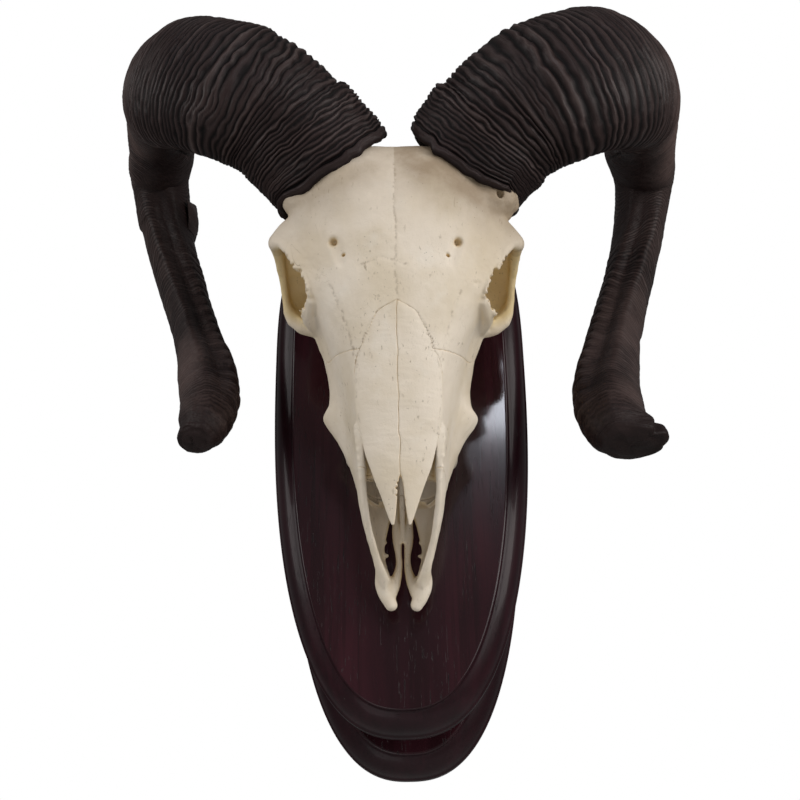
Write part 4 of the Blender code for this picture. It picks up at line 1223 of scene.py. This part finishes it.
def horn_piece(name, side, tip_reach, seed):
    """Build one horn; its rings are given back, for the flake that splits off one of them."""
    points, run, crest, body, body_run = horn_points(side, tip_reach, seed)
    quads = sheet_quads(len(run), AROUND)
    if side > 0:
        quads = quads[:, ::-1]
    piece = mesh_piece(name + "_sheath", to_room(points), quads, horn_skin, "horn", name)
    outer = np.tile(hump(75, 60), len(run))
    around = np.tile(np.abs(TURN - math.pi) / math.pi, len(run))
    run = np.repeat(run, AROUND)
    wear = outer * ramp(run, 110, 170) * (1 - 0.75 * ramp(run, 215, 265)) + 0.25 * ramp(run, 300, 400)
    mark(piece, crest=crest.ravel(), along=run * MM, around=around, wear=np.clip(wear, 0, 1)
         * WORN[side] * (1 - 0.8 * ramp(run, HORN_LENGTH - 16, HORN_LENGTH)))
    return np.array(body), body_run


left_body, left_run = horn_piece("horn_left", -1, 4.0, 21)
horn_piece("horn_right", 1, 3.5, 47)

# %% [markdown]
# On the inner edge of the left horn a thin flake has split off and curls away, so that light
# shows behind it. It is a copy of a strip of the horn's own skin, lifted more and more, and
# closed with a second layer a hair's breadth below the first.

# %% Peeled flake
FLAKE_FROM, FLAKE_TO = 284.0, 261.0     # where it grows out of the horn, and its free end
FLAKE_TURNS = np.radians(np.linspace(-62, -106, 12))
FLAKE_ROWS, FLAKE_WIDE = 26, len(FLAKE_TURNS)
FLAKE_THICK, FLAKE_SUNK, FLAKE_CURL = 0.7, 0.4, 4.4


def flake_points():
    """The strip's places: each goes straight out from the middle of the horn."""
    layers = []
    for level in (FLAKE_THICK, 0.0):
        for share in np.arange(FLAKE_ROWS) / (FLAKE_ROWS - 1):
            k = int(np.argmin(np.abs(left_run - FLAKE_FROM - share * (FLAKE_TO - FLAKE_FROM))))
            middle = left_body[k].mean(axis=0)
            for j, turn in enumerate(FLAKE_TURNS):
                skin = left_body[k][int((turn % (2 * math.pi)) / (2 * math.pi) * AROUND) % AROUND]
                away = (skin - middle) / np.linalg.norm(skin - middle)
                across = j / (FLAKE_WIDE - 1)
                curl = FLAKE_CURL * math.sin(math.pi * 0.72 * share) * (0.55 + 0.45 * across)
                ragged = 0.5 * math.sin(9 * share + 5 * across)
                layers.append(skin + away * (curl + level + ragged * share - FLAKE_SUNK))
    return np.array(layers)


def flake_quads():
    """Quads of the strip's two layers, and of the rim that closes them."""
    number = np.arange(2 * FLAKE_ROWS * FLAKE_WIDE).reshape(2, FLAKE_ROWS, FLAKE_WIDE)
    quads = []
    for layer, order in zip(number, ((0, 1, 2, 3), (3, 2, 1, 0))):
        sheet = np.stack([layer[:-1, :-1], layer[:-1, 1:], layer[1:, 1:], layer[1:, :-1]], axis=-1)
        quads.append(sheet.reshape(-1, 4)[:, order])
    rim = np.concatenate([number[:, 0, :], number[:, 1:, -1], number[:, -1, -2::-1],
                          number[:, -2:0:-1, 0]], axis=1)
    after = np.roll(rim, -1, axis=1)
    quads.append(np.stack([rim[0], rim[1], after[1], after[0]], axis=-1))
    return np.concatenate(quads)


flake = mesh_piece("horn_left_flake", to_room(flake_points() * (-1, 1, 1)), flake_quads(), horn_skin,
                   "horn")
flake_size = len(flake.data.vertices)
mark(flake, crest=np.full(flake_size, 0.7), wear=np.full(flake_size, 0.3),
     along=np.tile(np.repeat(np.linspace(0.29, 0.25, FLAKE_ROWS), FLAKE_WIDE), 2),
     around=np.tile(np.linspace(0.3, 0.6, FLAKE_WIDE), 2 * FLAKE_ROWS))

# %% [markdown]
# ## Plaque
# The plaque is two boards cut to one egg shape, each with a moulded edge: a flat band, a hollow
# curve and a small step up to the flat field. A router cuts that all round in one pass, and the
# mesh is made the same way: one profile, carried round the oval. A plain smaller oval holds the
# boards apart. Mahogany has straight, dark grain with open pores, under a thin satin varnish that
# is smooth over the wood.

# %% Boards
OVAL_STEPS = 400
HALF_WIDTH = 73.5
DOWN, UP_TO = 214.8, 114.0     # how far the front board reaches from the room's zero height
BOTTOM_BULGE, TOP_BULGE = 2 / 2.49, 2 / 2.95       # a plain oval has 1; less is squarer
BOARD_THICK = 22.0
FRONT_BACK = 54.0              # back face of the front board, from the wall
EDGE = ((3.0, 0.0), (0.6, 0.0), (0.15, 0.15), (0.0, 0.6), (0.0, 7.2), (0.1, 7.8), (0.45, 8.1),
        (0.9, 8.4), (1.25, 9.2), (1.7, 10.9), (2.6, 13.0), (3.9, 15.1), (5.6, 16.9), (7.6, 18.3),
        (9.8, 19.2), (11.0, 19.5), (11.5, 19.75), (11.75, 20.4), (11.9, 21.2), (12.15, 21.75),
        (12.7, 22.0), (13.6, 22.0))
SPACER_EDGE = ((3.0, 0.0), (0.5, 0.0), (0.0, 0.5), (0.0, 30.9), (0.5, 31.4), (3.0, 31.4))
FLAT_RINGS = (17, 24, 34, 46, 58, 67, 72)          # insets of the rings over a flat face
CORE = 1.5                     # half the width of the innermost ring


def oval_ring(margin, drop, depth):
    """One ring of the egg-shaped outline, `depth` millimetres in front of the wall."""
    turn = 2 * math.pi * (np.arange(OVAL_STEPS) + 0.5) / OVAL_STEPS + math.pi / 2
    c, s = np.cos(turn), np.sin(turn)
    bulge = np.where(s > 0, TOP_BULGE, BOTTOM_BULGE)
    x = (HALF_WIDTH - margin) * np.sign(c) * np.abs(c) ** bulge
    z = (np.where(s > 0, UP_TO, DOWN) - margin) * np.sign(s) * np.abs(s) ** bulge - drop
    return np.stack([x, np.full(OVAL_STEPS, -float(depth)), z], axis=1)


def board(name, profile, back, margin, drop):
    """A board turned out of one edge profile of insets and depths."""
    inner = [inset * (HALF_WIDTH - margin - CORE) / FLAT_RINGS[-1] for inset in FLAT_RINGS]
    rings = [(inset, profile[0][1]) for inset in inner[::-1]] + list(profile)
    rings += [(inset, profile[-1][1]) for inset in inner]
    rows = [oval_ring(margin + inset, drop, back + depth) for inset, depth in rings]
    quads = sheet_quads(len(rows), OVAL_STEPS)
    piece = mesh_piece(name + "_board", np.concatenate(rows) * MM, quads, mahogany, "dark_wood", name)
    piece.data.set_sharp_from_angle(angle=math.radians(50))
    moulded = np.zeros(len(rings))
    moulded[4:-9] = 1.0        # the edge, without the flat faces beside it
    mark(piece, moulding=np.repeat(moulded, OVAL_STEPS))


# %% Mahogany
def mahogany_finish():
    wood = Finish("dark_mahogany", Specular_IOR_Level=0.14, Coat_Roughness=0.1)
    moulding = wood.number("moulding")
    long_grain = wood.grain(1.0, 4, 0.6, wood.place(190, 190, 7))
    broad = wood.grain(1.0, 2, 0.5, wood.place(26, 26, 5), 1.2)
    pores = wood.grain(1.0, 2, 0.55, wood.place(1300, 1300, 105)).between(0.63, 0.71)
    pores = pores * wood.grain(1.0, 2, 0.5, wood.place(60, 60, 16)).between(0.38, 0.6)
    dust = (1 - wood.dots(150).between(0.02, 0.045)) * wood.grain(24, 1).between(0.55, 0.62)
    wood.bumps((long_grain, 0.00006), (1 - pores, 0.00009))
    wood.set(Coat_Weight=0.5 - 0.4 * moulding,
             Roughness=(0.18 + 0.10 * long_grain + 0.2 * pores + 0.15 * moulding).held(),
             Base_Color=wood.coats(
                 (0.016, 0.0042, 0.0062),
                 (broad.between(0.3, 0.7), (0.032, 0.0074, 0.0112)),
                 (long_grain.between(0.42, 0.62) * 0.55, (0.0085, 0.0024, 0.0030)),
                 (pores * 0.9, (0.0015, 0.0008, 0.0010)),
                 (moulding * 0.45, (0.0120, 0.0034, 0.0056)),
                 (dust.held() * 0.5, (0.20, 0.18, 0.17))))
    return wood.material


mahogany = mahogany_finish()
board("plaque_back", EDGE, 0.0, 2.9, 19.0)
board("plaque_front", EDGE, FRONT_BACK, 0.0, 0.0)
board("plaque_spacer", SPACER_EDGE, BOARD_THICK + 0.3, 22.0, 9.5)

# %% [markdown]
# ## Bolt
# A short steel bolt under the base of the skull holds it to the front board. Its plain solid is
# already the right shape, so it stays and only gets a finish: steel turned on a lathe, with fine
# scratches round it.

# %% Bolt
steel = Finish("bolt_steel", Metallic=1.0)
brushed = steel.grain(1.0, 3, 0.6, steel.place(1500, 90, 1500))
steel.set(Base_Color=steel.coats((0.42, 0.42, 0.43), (brushed, (0.6, 0.6, 0.61))),
          Roughness=0.28 + 0.2 * brushed)
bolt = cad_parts["mount_bolt"]
for slot in bolt.material_slots:
    slot.material = steel.material
print("bolt:", bolt.name)

# %% [markdown]
# ## Camera
# The camera stands a little below the skull, near it, and looks up at it, so the snout comes
# forward and the horns frame the head. Its three axes were solved from outlines.

# %% Camera
EYE = (0.02013, -0.64744, -0.28644)
RIGHT = (0.99901, 0.04152, -0.01598)
UP = (0.03151, -0.40685, 0.91295)
BACK = (0.0314, -0.91255, -0.40776)
camera = bpy.data.objects.new("camera", bpy.data.cameras.new("camera"))
axes = Matrix((RIGHT, UP, BACK)).transposed()
camera.matrix_world = Matrix.Translation(EYE) @ axes.to_4x4()
camera.data.sensor_fit = "HORIZONTAL"
camera.data.sensor_width = 36.0
camera.data.lens = 49.5
bpy.context.collection.objects.link(camera)
bpy.context.scene.camera = camera
print("camera", round((Vector(EYE) - Vector((0, -0.1, 0))).length, 2), "metres from the skull")

# %% [markdown]
# ## Light
# Horn and varnished wood are nearly black, so what they show is mostly what they mirror. A white
# room all round would turn them grey. So the backdrop is white only where the camera looks straight
# at it, the room's own light is faint, and broad soft lamps stand where the plaque's flat front
# does not mirror them. One cool window is put where it does, and draws the sheen on its right.

# %% Light
ROOM_LIGHT = 0.15
world = bpy.data.worlds.new("studio")
world.use_nodes = True
room = Graph(world.node_tree)
background = world.node_tree.nodes["Background"]
seen_straight = room.node("LightPath", {}, {}, out="Is Camera Ray")
room.feed(background.inputs["Strength"], ROOM_LIGHT + (1 - ROOM_LIGHT) * seen_straight)
room.feed(background.inputs["Color"], (1, 1, 1, 1))
bpy.context.scene.world = world
bpy.context.scene.view_settings.view_transform = "Standard"


def lamp(name, place, target, size, power, tint=(1, 1, 1), tall=1.0):
    """A soft lamp, `size` metres wide and `tall` times as high."""
    data = bpy.data.lights.new(name, "AREA")
    data.shape = "RECTANGLE"
    data.size = size
    data.size_y = size * tall
    data.energy = power
    data.color = tint
    made = bpy.data.objects.new(name, data)
    made.location = place
    made.rotation_euler = (Vector(target) - Vector(place)).to_track_quat("-Z", "Y").to_euler()
    bpy.context.collection.objects.link(made)


MIDDLE = (0, -0.1, -0.02)
lamp("key", (1.5, -1.0, 0.35), MIDDLE, 1.0, 20, (1.0, 0.985, 0.96))
lamp("fill", (-1.5, -0.9, 0.5), MIDDLE, 1.0, 13.5, (1.0, 0.99, 0.98))
lamp("low_fill", (-0.5, -1.5, -1.0), MIDDLE, 0.7, 2.2)
lamp("front", (1.0, -1.7, 0.0), MIDDLE, 0.8, 4.2)
lamp("top", (0.0, -0.9, 1.5), MIDDLE, 0.9, 2)
lamp("window", (0.18, -1.8, 0.86), (0.055, -0.076, -0.02), 0.17, 6.2, (0.86, 0.90, 1.0), 2.2)

# %% [markdown]
# ## Floor
# A plain pale square lies well below the plaque. It belongs to the stage and not to the piece.

# %% Floor
FLOOR_LEVEL = -1.25
FLOOR_HALF = 4.0
floor_mesh = bpy.data.meshes.new("floor")
floor_mesh.from_pydata([(x * FLOOR_HALF, y * FLOOR_HALF, FLOOR_LEVEL)
                        for x, y in ((-1, -1), (1, -1), (1, 1), (-1, 1))], [], [(0, 1, 2, 3)])
floor = bpy.data.objects.new("floor", floor_mesh)
bpy.context.collection.objects.link(floor)
plain = Finish("pale_floor", Roughness=0.7)
plain.set(Base_Color=plain.coats((0.80, 0.80, 0.79), (plain.grain(3, 2), (0.84, 0.84, 0.83))))
floor_mesh.materials.append(plain.material)
print("floor at", FLOOR_LEVEL)
